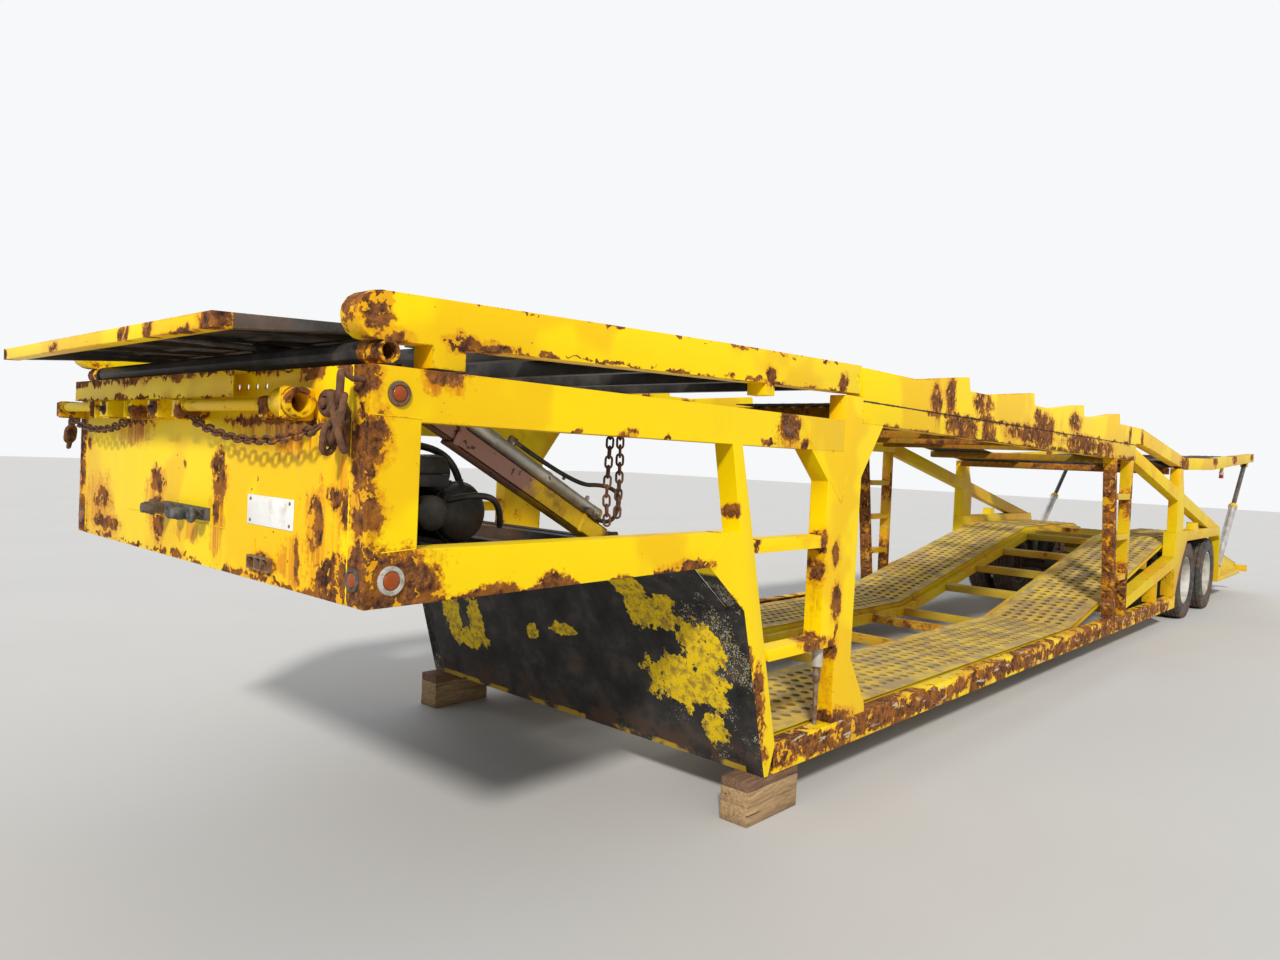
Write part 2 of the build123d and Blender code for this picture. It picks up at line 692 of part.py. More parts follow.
# Head rack: slides out over the cab on the torque tube, pushed by the rod
rack_half = 1086
rack_side = [(-rack_reach, 1950), (-rack_reach, 1996), (420, 2036), (420, 2006), (110, 1994)]
rack_top_line = [(-rack_reach, 1990), (420, 2030)]
with BuildPart() as head_rack:
    for y in (rack_half, -rack_half + 60):
        with BuildSketch(side_plane(y)):
            Polygon(*behind(rack_side), align=None)
        extrude(amount=60)
    with BuildSketch(side_plane(rack_half)):
        Polygon(*behind([(-rack_reach, 1950), (-rack_reach, 1996), (60 - rack_reach, 1999), (60 - rack_reach, 1952)]),
                align=None)
        for back in (-180, 60, 300):
            with Locations((nose_x - back, height_on(rack_top_line, back) + 1)):
                Rectangle(50, 6)
    extrude(amount=2 * rack_half)
    for y in (1020, 560, -230, -700):
        with BuildSketch(side_plane(y)):
            Polygon(*behind([(10 - rack_reach, 1992), (10 - rack_reach, 1998), (400, 2036), (400, 2030)]),
                    align=None)
        extrude(amount=320)
    with BuildSketch(cross_plane(-rack_reach + 40)):
        with Locations((-rack_cylinder[0], rack_cylinder[1])):
            RegularPolygon(10, bar_sides)
    extrude(amount=rack_reach + 160)
write(head_rack.part, "head_rack")

# Rear deck: side rails, cross members and floor
rear_front = rear_hinge[0] - 35
rear_line = [(rear_front, 1926), (12070, 1966), (deck_end_back, 2129)]
rear_low = [(deck_end_back, 2006), (12070, 1822), (rear_front, 1790)]
rear_floor_line = [(10560, 1886), (12070, 1921), (deck_end_back, 2080)]
lamp_bracket_back = 12980
with BuildPart() as rear_deck_frame:
    for side_y in (half_width, -inner_y):
        with BuildSketch(side_plane(side_y)):
            Polygon(*behind(rear_line + rear_low), align=None)
            with Locations((nose_x - rear_hinge[0], rear_hinge[1])):
                RegularPolygon(hinge_pin + pin_play, pin_sides, major_radius=False, mode=Mode.SUBTRACT)
        extrude(amount=tube)
    with BuildSketch(side_plane(inner_y)):
        for back in (10700, 12000, 13400, 14700, deck_end_back - 40):
            Polygon(*member_under(rear_floor_line, back, deck_plate), align=None)
    extrude(amount=2 * inner_y)
    # Ears for the rods, under the rails
    for y in (cylinder_y + 45, cylinder_y - 33, -cylinder_y + 45, -cylinder_y - 33):
        with BuildSketch(side_plane(y)):
            Polygon(*behind([(cylinder_eye[0] - 60, 1990), (cylinder_eye[0] + 60, 1998),
                             (cylinder_eye[0] + 25, cylinder_eye[1] - 30),
                             (cylinder_eye[0] - 25, cylinder_eye[1] - 30)]), align=None)
        extrude(amount=12)
    # Hanging lamp box under the left rail
    with BuildSketch(side_plane(half_width - 35)):
        with Locations((nose_x - lamp_bracket_back, 1850)):
            Rectangle(20, 90)
        with Locations((nose_x - lamp_bracket_back, 1770)):
            Rectangle(60, 90)
    extrude(amount=40)
write(rear_deck_frame.part, "rear_deck_frame")

with BuildPart() as rear_deck_floor:
    for y in (upper_runway_outer_y, -upper_runway_inner_y):
        with BuildSketch(side_plane(y)):
            Polygon(*behind(rear_floor_line + lowered(rear_floor_line, deck_plate)[::-1]), align=None)
        extrude(amount=upper_runway_width)
write(rear_deck_floor.part, "rear_deck_floor")

# Lift legs: hollow outer strut with the cylinder's barrel on it, and the sliding strut with the rod
leg_length = length_between(leg_foot, leg_eye)
cylinder_offset = 74
foot_pin = 14
with BuildPart() as lift_cylinders:
    for y in (leg_y, -leg_y):
        with BuildSketch(section_plane(leg_foot, leg_eye, y, 30)):
            Rectangle(76, 76)
            Rectangle(64, 64, mode=Mode.SUBTRACT)
        extrude(amount=840)
        with BuildSketch(side_plane(y + 38)):
            with Locations((nose_x - leg_foot[0], leg_foot[1])):
                RegularPolygon(42, pin_sides)
        extrude(amount=76)
        with BuildSketch(section_plane(leg_foot, leg_eye, y, 90)):
            with Locations((0, cylinder_offset)):
                RegularPolygon(30, bar_sides)
                RegularPolygon(24, bar_sides, mode=Mode.SUBTRACT)
        extrude(amount=740)
        with BuildSketch(section_plane(leg_foot, leg_eye, y, 70)):
            with Locations((0, 64)):
                Rectangle(50, 70)
        extrude(amount=60)
        with BuildSketch(side_plane(y + 60)):
            with Locations((nose_x - leg_foot[0], leg_foot[1])):
                RegularPolygon(foot_pin + pin_play, pin_sides, major_radius=False)
        extrude(amount=120, mode=Mode.SUBTRACT)
write(lift_cylinders.part, "lift_cylinders")

with BuildPart() as lift_rods:
    for y in (leg_y, -leg_y):
        with BuildSketch(section_plane(leg_foot, leg_eye, y, 460)):
            Rectangle(54, 54)
        extrude(amount=leg_length - 460 - 20)
        with BuildSketch(side_plane(y + 24)):
            with Locations((nose_x - leg_eye[0], leg_eye[1])):
                RegularPolygon(26, bar_sides)
        extrude(amount=48)
        with BuildSketch(section_plane(leg_foot, leg_eye, y, 440)):
            with Locations((0, cylinder_offset)):
                RegularPolygon(16, bar_sides)
        extrude(amount=leg_length - 440 - 100)
        with BuildSketch(section_plane(leg_foot, leg_eye, y, leg_length - 140)):
            with Locations((0, 60)):
                Rectangle(36, 74)
        extrude(amount=40)
write(lift_rods.part, "lift_rods")

# Long cylinders that hold the rear deck
cylinder_length = length_between(cylinder_foot, cylinder_eye)
barrel_radius = 50
rod_radius = 31
with BuildPart() as rear_cylinders:
    for y in (cylinder_y, -cylinder_y):
        with BuildSketch(section_plane(cylinder_foot, cylinder_eye, y, 70)):
            RegularPolygon(barrel_radius, pin_sides)
        extrude(amount=30)
        with BuildSketch(section_plane(cylinder_foot, cylinder_eye, y, 90)):
            RegularPolygon(barrel_radius, pin_sides)
            RegularPolygon(barrel_radius - 6, pin_sides, mode=Mode.SUBTRACT)
        extrude(amount=1265)
        with BuildSketch(section_plane(cylinder_foot, cylinder_eye, y, 1300)):
            RegularPolygon(58, pin_sides)
            RegularPolygon(rod_radius + 4, pin_sides, mode=Mode.SUBTRACT)
        extrude(amount=50)
        with BuildSketch(section_plane(cylinder_foot, cylinder_eye, y, 0)):
            Rectangle(60, 60)
        extrude(amount=80)
        with BuildSketch(side_plane(y + 30)):
            with Locations((nose_x - cylinder_foot[0], cylinder_foot[1])):
                RegularPolygon(38, pin_sides)
        extrude(amount=60)
        with BuildSketch(side_plane(y + 40)):
            with Locations((nose_x - cylinder_foot[0], cylinder_foot[1])):
                RegularPolygon(hinge_pin + pin_play, pin_sides, major_radius=False)
        extrude(amount=80, mode=Mode.SUBTRACT)
write(rear_cylinders.part, "rear_cylinders")

with BuildPart() as rear_rods:
    for y in (cylinder_y, -cylinder_y):
        with BuildSketch(section_plane(cylinder_foot, cylinder_eye, y, 1000)):
            RegularPolygon(rod_radius, pin_sides)
        extrude(amount=cylinder_length - 1000 - 10)
        with BuildSketch(side_plane(y + 26)):
            with Locations((nose_x - cylinder_eye[0], cylinder_eye[1])):
                RegularPolygon(28, bar_sides)
        extrude(amount=52)
write(rear_rods.part, "rear_rods")

# Lamps: round ones on the gooseneck's sides and front corners, and three each side at the tail
lamp_sides = 8
lamp_reach = 14
side_lamps = [(90, 1806, 38), (2130, 1808, 26), (85, 1262, 44)]
with BuildPart() as lamps:
    for back, height, radius in side_lamps:
        for y in (half_width + lamp_reach, -half_width):
            with BuildSketch(side_plane(y)):
                with Locations((nose_x - back, height)):
                    RegularPolygon(radius, lamp_sides)
            extrude(amount=lamp_reach)
    with BuildSketch(cross_plane(-lamp_reach)):
        with Locations((-1235, 1262), (1235, 1262)):
            RegularPolygon(36, lamp_sides)
    extrude(amount=lamp_reach)
    with BuildSketch(cross_plane(15180)):
        with Locations(*[(side * y, 360) for side in (1, -1) for y in (900, 1020, 1140)]):
            RegularPolygon(40, lamp_sides)
    extrude(amount=10)
write(lamps.part, "lamps")

# Timber blocks under the front corners of the well, each with a board on top
timber_back = 2175
timber_y = 1210
timber_size = (416, 160)
block_height = 160
with BuildPart() as timber_blocks:
    for bottom, height in ((0, block_height), (block_height, well_bottom - block_height)):
        with BuildSketch(Plane.XY.offset(bottom)):
            with Locations((nose_x - timber_back, timber_y), (nose_x - timber_back, -timber_y)):
                Rectangle(*timber_size)
        extrude(amount=height)
write(timber_blocks.part, "timber_blocks")

# Chains: plain links that hang in each other, each turned a quarter against the one before
link_length = 58
link_width = 34
link_wire = 9
link_pitch_most = 39


def sagging(start, end, drop, steps=8):
    # Points of a chain that hangs between two ends, as (back, y, height).
    points = []
    for step in range(steps + 1):
        share = step / steps
        back, y, height = (low + (high - low) * share for low, high in zip(start, end))
        points.append((back, y, height - 4 * drop * share * (1 - share)))
    return points


def link_planes(points, size):
    # Evenly spaced planes along a line of points: x runs along the chain, and z is square to the link's face.
    places = [Vector(nose_x - back, y, height) for back, y, height in points]
    runs = [(after - place).length for place, after in zip(places, places[1:])]
    steps = ceil(sum(runs) / (size * link_pitch_most))
    planes = []
    for step in range(steps + 1):
        left = sum(runs) * step / steps
        leg = 0
        while leg < len(runs) - 1 and left > runs[leg]:
            left -= runs[leg]
            leg += 1
        along = (places[leg + 1] - places[leg]) / runs[leg]
        level = along.cross(Vector(1, 0, 0)).normalized()
        face = level.rotate(Axis((0, 0, 0), along), 45 if step % 2 else -45)
        planes.append(Plane(origin=places[leg] + along * left, x_dir=along, z_dir=face))
    return planes


chain_reach = 70
strand_y = 1150
strand_top = 1745
# Chains as (points, size of the links against the plain one)
chain_runs = [
    (sagging((-chain_reach, 238, 1708), (-chain_reach, 1110, 1692), 48), 1.35),
    (sagging((-chain_reach, -1165, 1714), (-chain_reach, -420, 1714), 46), 1.35),
    ([(-chain_reach, 1190, 1832), (-chain_reach, 1200, 1600)], 1.9),
    ([(15 - chain_reach, 1258, 1790), (15 - chain_reach, 1258, 1640)], 1.9),
    ([(-chain_reach, -1230, 1655), (-chain_reach, -1235, 1585)], 1.9),
    ([(1120, strand_y, strand_top), (1115, strand_y, 1410)], 1.25),
    ([(1175, strand_y, strand_top), (1178, strand_y, 1440)], 1.25),
]
with BuildPart() as chains:
    for points, size in chain_runs:
        for link_plane in link_planes(points, size):
            with BuildSketch(link_plane):
                wire = size * link_wire
                Rectangle(size * link_length, size * link_width)
                Rectangle(size * link_length - 2 * wire, size * link_width - 2 * wire, mode=Mode.SUBTRACT)
            extrude(amount=wire / 2, both=True)
    # Pegs that the two strands hang from
    with BuildSketch(side_plane(inner_y)):
        with Locations((nose_x - 1120, strand_top + 16), (nose_x - 1175, strand_top + 16)):
            RegularPolygon(8, bar_sides)
    extrude(amount=inner_y - strand_y + 18)
write(chains.part, "chains")

# Hoses of the lift cylinders: from a fitting on the barrel along it, and in one loop to the foot's fitting
hose_radius = 9
hose_bend = 70
# Route as (distance from the foot along the leg, distance above the leg, distance outboard of it)
hose_route = [(600, 118, 0), (260, 118, 8), (130, 193, 34), (25, 193, 42), (25, 43, 46), (150, 43, 46)]
hose_fittings = [((600, 635), (103, 130), (-9, 9)), ((150, 180), (39, 66), (30, 58))]
leg_frame = section_plane(leg_foot, leg_eye, leg_y, 0)
with BuildPart() as hoses:
    with BuildLine(leg_frame) as hose_line:
        FilletPolyline(*[(outboard, above, along) for along, above, outboard in hose_route], radius=hose_bend)
    with BuildSketch(Plane(origin=hose_line.line @ 0, z_dir=hose_line.line % 0)):
        RegularPolygon(hose_radius, 4)
    sweep()
    for (s_from, s_to), (n_from, n_to), (y_from, y_to) in hose_fittings:
        with BuildSketch(section_plane(leg_foot, leg_eye, leg_y, s_from)):
            with Locations(((y_from + y_to) / 2, (n_from + n_to) / 2)):
                Rectangle(y_to - y_from, n_to - n_from)
        extrude(amount=s_to - s_from)
    mirror(about=Plane.XZ)
write(hoses.part, "hoses")
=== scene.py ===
import math
import random

import bmesh
import bpy
from mathutils import Matrix, Vector


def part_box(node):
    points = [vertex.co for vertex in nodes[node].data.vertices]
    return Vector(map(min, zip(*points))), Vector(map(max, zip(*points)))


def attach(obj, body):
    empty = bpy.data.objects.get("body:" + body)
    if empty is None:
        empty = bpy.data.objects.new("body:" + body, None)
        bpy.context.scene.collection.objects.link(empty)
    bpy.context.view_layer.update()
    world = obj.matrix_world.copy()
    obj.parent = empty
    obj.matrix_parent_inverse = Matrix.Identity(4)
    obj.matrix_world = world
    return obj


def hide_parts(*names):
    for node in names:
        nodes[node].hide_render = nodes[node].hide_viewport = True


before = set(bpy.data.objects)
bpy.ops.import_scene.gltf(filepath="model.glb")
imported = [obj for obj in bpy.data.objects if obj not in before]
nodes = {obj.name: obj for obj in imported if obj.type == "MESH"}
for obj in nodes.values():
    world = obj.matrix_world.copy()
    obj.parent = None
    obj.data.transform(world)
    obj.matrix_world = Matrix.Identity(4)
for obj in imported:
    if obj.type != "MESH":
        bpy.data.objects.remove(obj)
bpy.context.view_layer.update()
scene = bpy.context.scene
rng = random.Random(7)

# stations are metres behind the nose, y is to the trailer's left, z is up
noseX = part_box("gooseneck_side_left")[1].x
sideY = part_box("gooseneck_side_left")[1].y


def at(back, y, z):
    return Vector((noseX - back, y, z))


print("frame loaded:", len(nodes), "nodes")


# a node's output, which can be added to and multiplied as a number can
class wire:
    def __init__(self, socket):
        self.socket = socket

    def __add__(self, other):
        return mathOf("ADD", self, other)

    def __radd__(self, other):
        return mathOf("ADD", other, self)

    def __sub__(self, other):
        return mathOf("SUBTRACT", self, other)

    def __rsub__(self, other):
        return mathOf("SUBTRACT", other, self)

    def __mul__(self, other):
        return mathOf("MULTIPLY", self, other)

    def __truediv__(self, other):
        return mathOf("DIVIDE", self, other)


def setInputs(node, values):
    for name, value in values.items():
        if isinstance(value, wire):
            node.id_data.links.new(value.socket, node.inputs[name])
        else:
            node.inputs[name].default_value = value


# a node with its inputs and settings, in a tree or in the tree that a wire is in; gives its outputs by name
def addNode(where, kind, inputs=(), **settings):
    tree = where.socket.id_data if isinstance(where, wire) else where
    node = tree.nodes.new(kind if "Node" in kind else "ShaderNode" + kind)
    for name, value in settings.items():
        setattr(node, name, value)
    setInputs(node, dict(inputs))
    return {output.name: wire(output) for output in node.outputs}


def mathOf(operation, first, second=0.0, clamp=False):
    where = first if isinstance(first, wire) else second
    return addNode(where, "Math", {0: first, 1: second}, operation=operation, use_clamp=clamp)["Value"]


def larger(first, second, clamp=False):
    return mathOf("MAXIMUM", first, second, clamp)


def vectorOf(operation, first, second):
    return addNode(first, "VectorMath", {0: first, 1: second}, operation=operation)["Vector"]


def dotOf(first, second):
    return addNode(first, "VectorMath", {0: first, 1: second}, operation="DOT_PRODUCT")["Value"]


def lengthOf(vector):
    return addNode(vector, "VectorMath", {0: vector}, operation="LENGTH")["Value"]


def splitOf(vector):
    return addNode(vector, "SeparateXYZ", {"Vector": vector})


def normalOf(where):
    return addNode(where, "NewGeometry")["Normal"]


def noiseOf(vector, scale, detail=4.0, roughness=0.55):
    return addNode(vector, "TexNoise", {"Vector": vector, "Scale": scale, "Detail": detail,
                                        "Roughness": roughness, "Distortion": 0.0})["Fac"]


# noise on a grid stretched by three factors, for streaks and grain
def stretchedOf(vector, factors, scale, detail, roughness=0.55):
    return noiseOf(vectorOf("MULTIPLY", vector, factors), scale, detail, roughness)


# the same vector pushed about by noise, so that patches laid out by it get ragged
def warpOf(vector, scale, amount):
    noise = addNode(vector, "TexNoise", {"Vector": vector, "Scale": scale, "Detail": 3.0})
    push = vectorOf("SUBTRACT", noise["Color"], (0.5, 0.5, 0.5))
    return vectorOf("ADD", vector, vectorOf("MULTIPLY", push, (amount, amount, amount)))


def stepOf(value, low, high, toLow=0.0, toHigh=1.0):
    return addNode(value, "MapRange", {"Value": value, "From Min": low, "From Max": high, "To Min": toLow,
                                       "To Max": toHigh}, interpolation_type="SMOOTHSTEP")["Result"]


def fadeOf(value, low, high, start=1.0):
    return stepOf(value, low, high, start, 0.0)


# colours are given as three numbers or as a wire
def mixOf(factor, first, second):
    first, second = [tone if isinstance(tone, wire) else (*tone, 1) for tone in (first, second)]
    node = factor.socket.id_data.nodes.new("ShaderNodeMix")
    node.data_type = "RGBA"
    setInputs(node, {0: factor, 6: first, 7: second})
    return wire(node.outputs[2])


def rampOf(value, stops):
    node = value.socket.id_data.nodes.new("ShaderNodeValToRGB")
    while len(node.color_ramp.elements) < len(stops):
        node.color_ramp.elements.new(0.5)
    for element, (position, colour) in zip(node.color_ramp.elements, stops):
        element.position = position
        element.color = (*colour, 1)
    setInputs(node, {0: value})
    return wire(node.outputs["Color"])


# inputs are named with their values, or with what they hold; outputs with what they hold
def newGroup(name, inputs, outputs, kind="ShaderNodeTree"):
    tree = bpy.data.node_groups.new(name, kind)
    for label, value in inputs.items():
        holds = value if isinstance(value, str) else "Float" if isinstance(value, float) else "Vector"
        socket = tree.interface.new_socket(label, in_out="INPUT", socket_type="NodeSocket" + holds)
        if not isinstance(value, str):
            socket.default_value = value
    for label, holds in outputs.items():
        tree.interface.new_socket(label, in_out="OUTPUT", socket_type="NodeSocket" + holds)
    start = tree.nodes.new("NodeGroupInput").outputs
    return tree, {socket.name: wire(socket)
                  for socket in start if socket.name}, tree.nodes.new("NodeGroupOutput")


def useGroup(group, vector, values=()):
    return addNode(vector, "Group", node_tree=group, inputs={"Vector": vector, **dict(values)})


# one patch of rust: a field that is 1 at its centre and 0 at its rim, and the streak that runs down from it
def buildSpotGroup():
    tree, start, end = newGroup("rustSpot", {
        "Vector": "Vector", "Centre": "Vector", "Radii": (0.1, 0.1, 0.1), "Drip": 0.0, "Field": -1.0,
        "Streak": 0.0,
    }, {"Field": "Float", "Streak": "Float"})
    away = vectorOf("SUBTRACT", start["Vector"], start["Centre"])
    scaled = vectorOf("DIVIDE", away, start["Radii"])
    field = 1.0 - lengthOf(scaled)
    across = fadeOf(lengthOf(vectorOf("MULTIPLY", scaled, (1, 1, 0))), 0.35, 1.0)
    below = splitOf(away)["Z"] * -1.0 / larger(start["Drip"], 0.001)
    streak = across * (fadeOf(below, 0.25, 1.0) * stepOf(below, 0.0, 0.1))
    setInputs(end, {"Field": larger(field, start["Field"]), "Streak": larger(streak, start["Streak"])})
    return tree


# rust along an edge: a field that is 1 on a line and falls to 0 at an uneven distance from it
def buildLineGroup():
    tree, start, end = newGroup("rustLine", {
        "Vector": "Vector", "From": "Vector", "Along": (1, 0, 0), "Width": 0.03, "Field": -1.0,
    }, {"Field": "Float"})
    vector, along = start["Vector"], start["Along"]
    away = vectorOf("SUBTRACT", vector, start["From"])
    square = dotOf(along, along)
    share = mathOf("DIVIDE", dotOf(away, along), square, True)
    gap = lengthOf(vectorOf("SUBTRACT", away, vectorOf("MULTIPLY", along, share)))
    swell = stepOf(noiseOf(vector, 6.5, 2), 0.4, 0.62, 0.4, 1.5)
    setInputs(end, {"Field": larger(1.0 - gap / (start["Width"] * swell), start["Field"])})
    return tree


rustLook = {
    # tones from dark to orange, each with its place on the ramp
    "tones": ((0.39, (0.024, 0.011, 0.008)), (0.45, (0.08, 0.03, 0.015)), (0.51, (0.155, 0.057, 0.021)),
              (0.57, (0.26, 0.098, 0.03)), (0.65, (0.5, 0.2, 0.034))),
    "drift": (0.42, 0.145, 0.014),
    "rim": (0.5, 0.175, 0.012),
}


# rust over any paint: from listed patches, from scattered patches and along edges
def buildRustGroup():
    tree, start, end = newGroup("rustWear", {
        "Vector": "Vector", "Field": -1.0, "Streak": 0.0, "Stains": -1.0, "Patches": 0.1, "Edges": 0.3,
        "Edge Width": 0.02,
    }, {"Rust": "Float", "Stain": "Float", "Run": "Float", "Colour": "Color", "Height": "Float"})
    vector = start["Vector"]
    broad = noiseOf(vector, 1.4, 3) - 0.5
    middle = noiseOf(vector, 11, 5, 0.62) - 0.5
    fine = noiseOf(vector, 62, 5, 0.68) - 0.5
    rag = middle * 1.15 + fine * 1.25
    spots = start["Field"] + rag
    scatter = broad * 1.7 + rag * 0.9 + (start["Patches"] - 0.66)
    bevel = addNode(tree, "Bevel", {"Radius": start["Edge Width"]}, samples=4)["Normal"]
    turned = 1.0 - dotOf(bevel, normalOf(tree))
    edges = stepOf(turned, 0.0, 0.16) * start["Edges"] + broad * 1.7 + rag - 0.62
    chips = stepOf(noiseOf(vector, 44, 2, 0.5), 0.735, 0.75, 0.0, 0.3) - fadeOf(broad, -0.05, 0.06) * 0.4
    score = larger(larger(spots, scatter), larger(edges, chips))
    # small islands of paint stay inside the patches
    islands = fadeOf(noiseOf(warpOf(vector, 20.0, 0.05), 15, 4, 0.6), 0.585, 0.605)
    rust = stepOf(score, 0.0, 0.045) * islands
    # stains: a halo round the rust, streaks and blushes that rain has drawn down
    rain = stepOf(stretchedOf(vector, (30, 30, 1.1), 1.0, 3, 0.6), 0.36, 0.58)
    streak = start["Streak"] * rain
    near = larger(spots - rag * 0.4, score + 0.1)
    halo = stepOf(near, -0.22, 0.12) * 0.72 * stepOf(spots, -0.5, -0.1, 0.45, 1.0)
    blush = stepOf(start["Stains"] + rag * 1.2, 0.0, 0.5) * (rain * 0.6 + 0.32)
    stain = larger(larger(halo, streak * 0.95, True), blush)
    # colour: dark to orange by a fine tone, with brighter drifts and a bright rim
    tone = noiseOf(vector, 38, 8, 0.74) * 0.72 + noiseOf(vector, 6.0, 3) * 0.28
    colour = rampOf(tone, rustLook["tones"])
    drift = stepOf(noiseOf(vector, 13.0, 5, 0.65), 0.46, 0.6)
    colour = mixOf(drift * 0.5, colour, rustLook["drift"])
    colour = mixOf(fadeOf(score - fine * 0.5, 0.0, 0.2) * 0.72, colour, rustLook["rim"])
    height = rust * (fine * 2.2 + 0.55)
    setInputs(end, {"Rust": rust, "Stain": stain, "Run": streak, "Colour": colour, "Height": height})
    return tree


# dirt that rain leaves: vertical runs, blotches, and more of it in faces that look up
def buildGrimeGroup():
    tree, start, end = newGroup("grime", {"Vector": "Vector", "Amount": 0.3},
                                {"Mask": "Float", "Ripple": "Float"})
    vector = start["Vector"]
    runs = stretchedOf(vector, (17, 17, 1.1), 1.0, 4, 0.6)
    blotches = noiseOf(vector, 2.3, 6, 0.6)
    flat = stepOf(splitOf(normalOf(vector))["Z"], 0.3, 1.0) * 0.22
    mask = runs * 0.55 + blotches * 0.6 + (flat + -0.58)
    mask = mathOf("MULTIPLY", stepOf(mask, -0.05, 0.5), start["Amount"], True)
    ripple = noiseOf(vector, 3.0, 2) * 1.0 + noiseOf(vector, 190, 2) * 0.06
    setInputs(end, {"Mask": mask, "Ripple": ripple})
    return tree


charcoalLook = {
    "tones": ((0.35, (0.014, 0.013, 0.013)), (0.52, (0.034, 0.031, 0.03)), (0.62, (0.06, 0.05, 0.042)),
              (0.72, (0.095, 0.06, 0.04))),
    "specks": ((0.4, (0.42, 0.4, 0.34)), (0.6, (0.36, 0.29, 0.12))),
}


# dark coating gone grey, with pale specks where stones struck it
def buildCharcoalGroup():
    tree, start, end = newGroup("charcoal", {"Vector": "Vector", "Specks": 0.3},
                                {"Colour": "Color", "Height": "Float"})
    vector = start["Vector"]
    colour = rampOf(noiseOf(vector, 5.5, 7, 0.65), charcoalLook["tones"])
    area = stepOf(noiseOf(vector, 7, 4, 0.6), 0.4, 0.62)
    limit = 0.78 - area * start["Specks"] * 0.3
    grain = noiseOf(vector, 130, 3, 0.6)
    specks = stepOf(grain - limit, -0.01, 0.03)
    pale = rampOf(noiseOf(vector, 24, 2), charcoalLook["specks"])
    setInputs(end, {"Colour": mixOf(specks, colour, pale), "Height": grain * 0.6})
    return tree


spotGroup = buildSpotGroup()
lineGroup = buildLineGroup()
rustGroup = buildRustGroup()
grimeGroup = buildGrimeGroup()
charcoalGroup = buildCharcoalGroup()


def newMaterial(name):
    material = bpy.data.materials.new(name)
    material.use_nodes = True
    tree = material.node_tree
    return material, tree.nodes["Principled BSDF"], addNode(tree, "TexCoord")["Object"]


# the last step of a finish: what the shader is given
def closeMaterial(material, shader, colour, roughness, height, depth, strength=1.0, shine=None):
    bump = addNode(height, "Bump", {"Height": height, "Distance": depth, "Strength": strength})
    setInputs(shader, {"Base Color": colour, "Roughness": roughness, "Normal": bump["Normal"]})
    if shine is not None:
        setInputs(shader, {"Specular IOR Level": shine})
    return material


# spots are rows of station, y, height, half length, half width, half height and, where there is a streak
# below, its length; lines are rows of two places (station, y, height) and a width
def spotFields(vector, spots, bothSides, lines=()):
    if not spots and not lines:
        return -1.0, 0.0
    if bothSides:
        split = splitOf(vector)
        vector = addNode(vector, "CombineXYZ", {"X": split["X"], "Y": mathOf("ABSOLUTE", split["Y"]),
                                                "Z": split["Z"]})["Vector"]
    vector = warpOf(warpOf(vector, 8.0, 0.08), 34.0, 0.045)
    field, streak = -1.0, 0.0
    for back, y, z, along, across, tall, *drip in spots:
        out = useGroup(spotGroup, vector, {"Centre": at(back, y, z), "Radii": (along, across, tall),
                                           "Drip": drip[0] if drip else 0.0, "Field": field,
                                           "Streak": streak})
        field, streak = out["Field"], out["Streak"]
    for first, second, width in lines:
        along = at(*second) - at(*first)
        field = useGroup(lineGroup, vector, {"From": at(*first), "Along": along, "Width": width,
                                             "Field": field})["Field"]
    return field, streak


# masks for faces that are painted otherwise than the rest of their piece: forward faces with a dark coat,
# and inner parts made dark as painted shade with dark rust
def frontFacing(fromBack, below):
    def mask(vector):
        place = splitOf(vector)
        facing = stepOf(splitOf(normalOf(vector))["X"], 0.35, 0.4) * fadeOf(place["Z"], below, below + 0.02)
        return facing * fadeOf(place["X"], noseX - fromBack, noseX - fromBack + 0.01)
    return mask


# painted shade: the charcoal coat on inner parts, within a distance of the middle, stands for the shade
# between the decks as well as dark rusty steel
def shadedInsideOf(limitY):
    def mask(vector):
        return fadeOf(mathOf("ABSOLUTE", splitOf(vector)["Y"]), limitY - 0.006, limitY)
    return mask


# the joint between two tubes, a groove on the outer faces: two ends as (station, height) and half its width
def seamOf(vector, fromBack, fromZ, toBack, toZ, half):
    place = splitOf(vector)
    share = (noseX - fromBack - place["X"]) / (toBack - fromBack)
    gap = mathOf("ABSOLUTE", place["Z"] - (share * (toZ - fromZ) + fromZ))
    groove = fadeOf(gap + (noiseOf(vector, 45, 3) - 0.5) * (half * 1.6), half * 0.6, half)
    within = stepOf(share, 0.0, 0.002) * fadeOf(share, 0.998, 1.0)
    outer = stepOf(mathOf("ABSOLUTE", place["Y"]), sideY - 0.03, sideY - 0.02)
    return groove * (within * outer)


paintLook = {
    "yellow": (0.94, 0.66, 0.0004),
    "grime": (0.4, 0.26, 0.008),
    "stain": (0.7, 0.255, 0.006),
    "run": (0.46, 0.115, 0.006),
    "scrape": (0.62, 0.55, 0.38),
    "seam": (0.055, 0.028, 0.012),
    "roughness": 0.46,
    "rustRoughness": 0.92,
    "shine": 0.17,
}


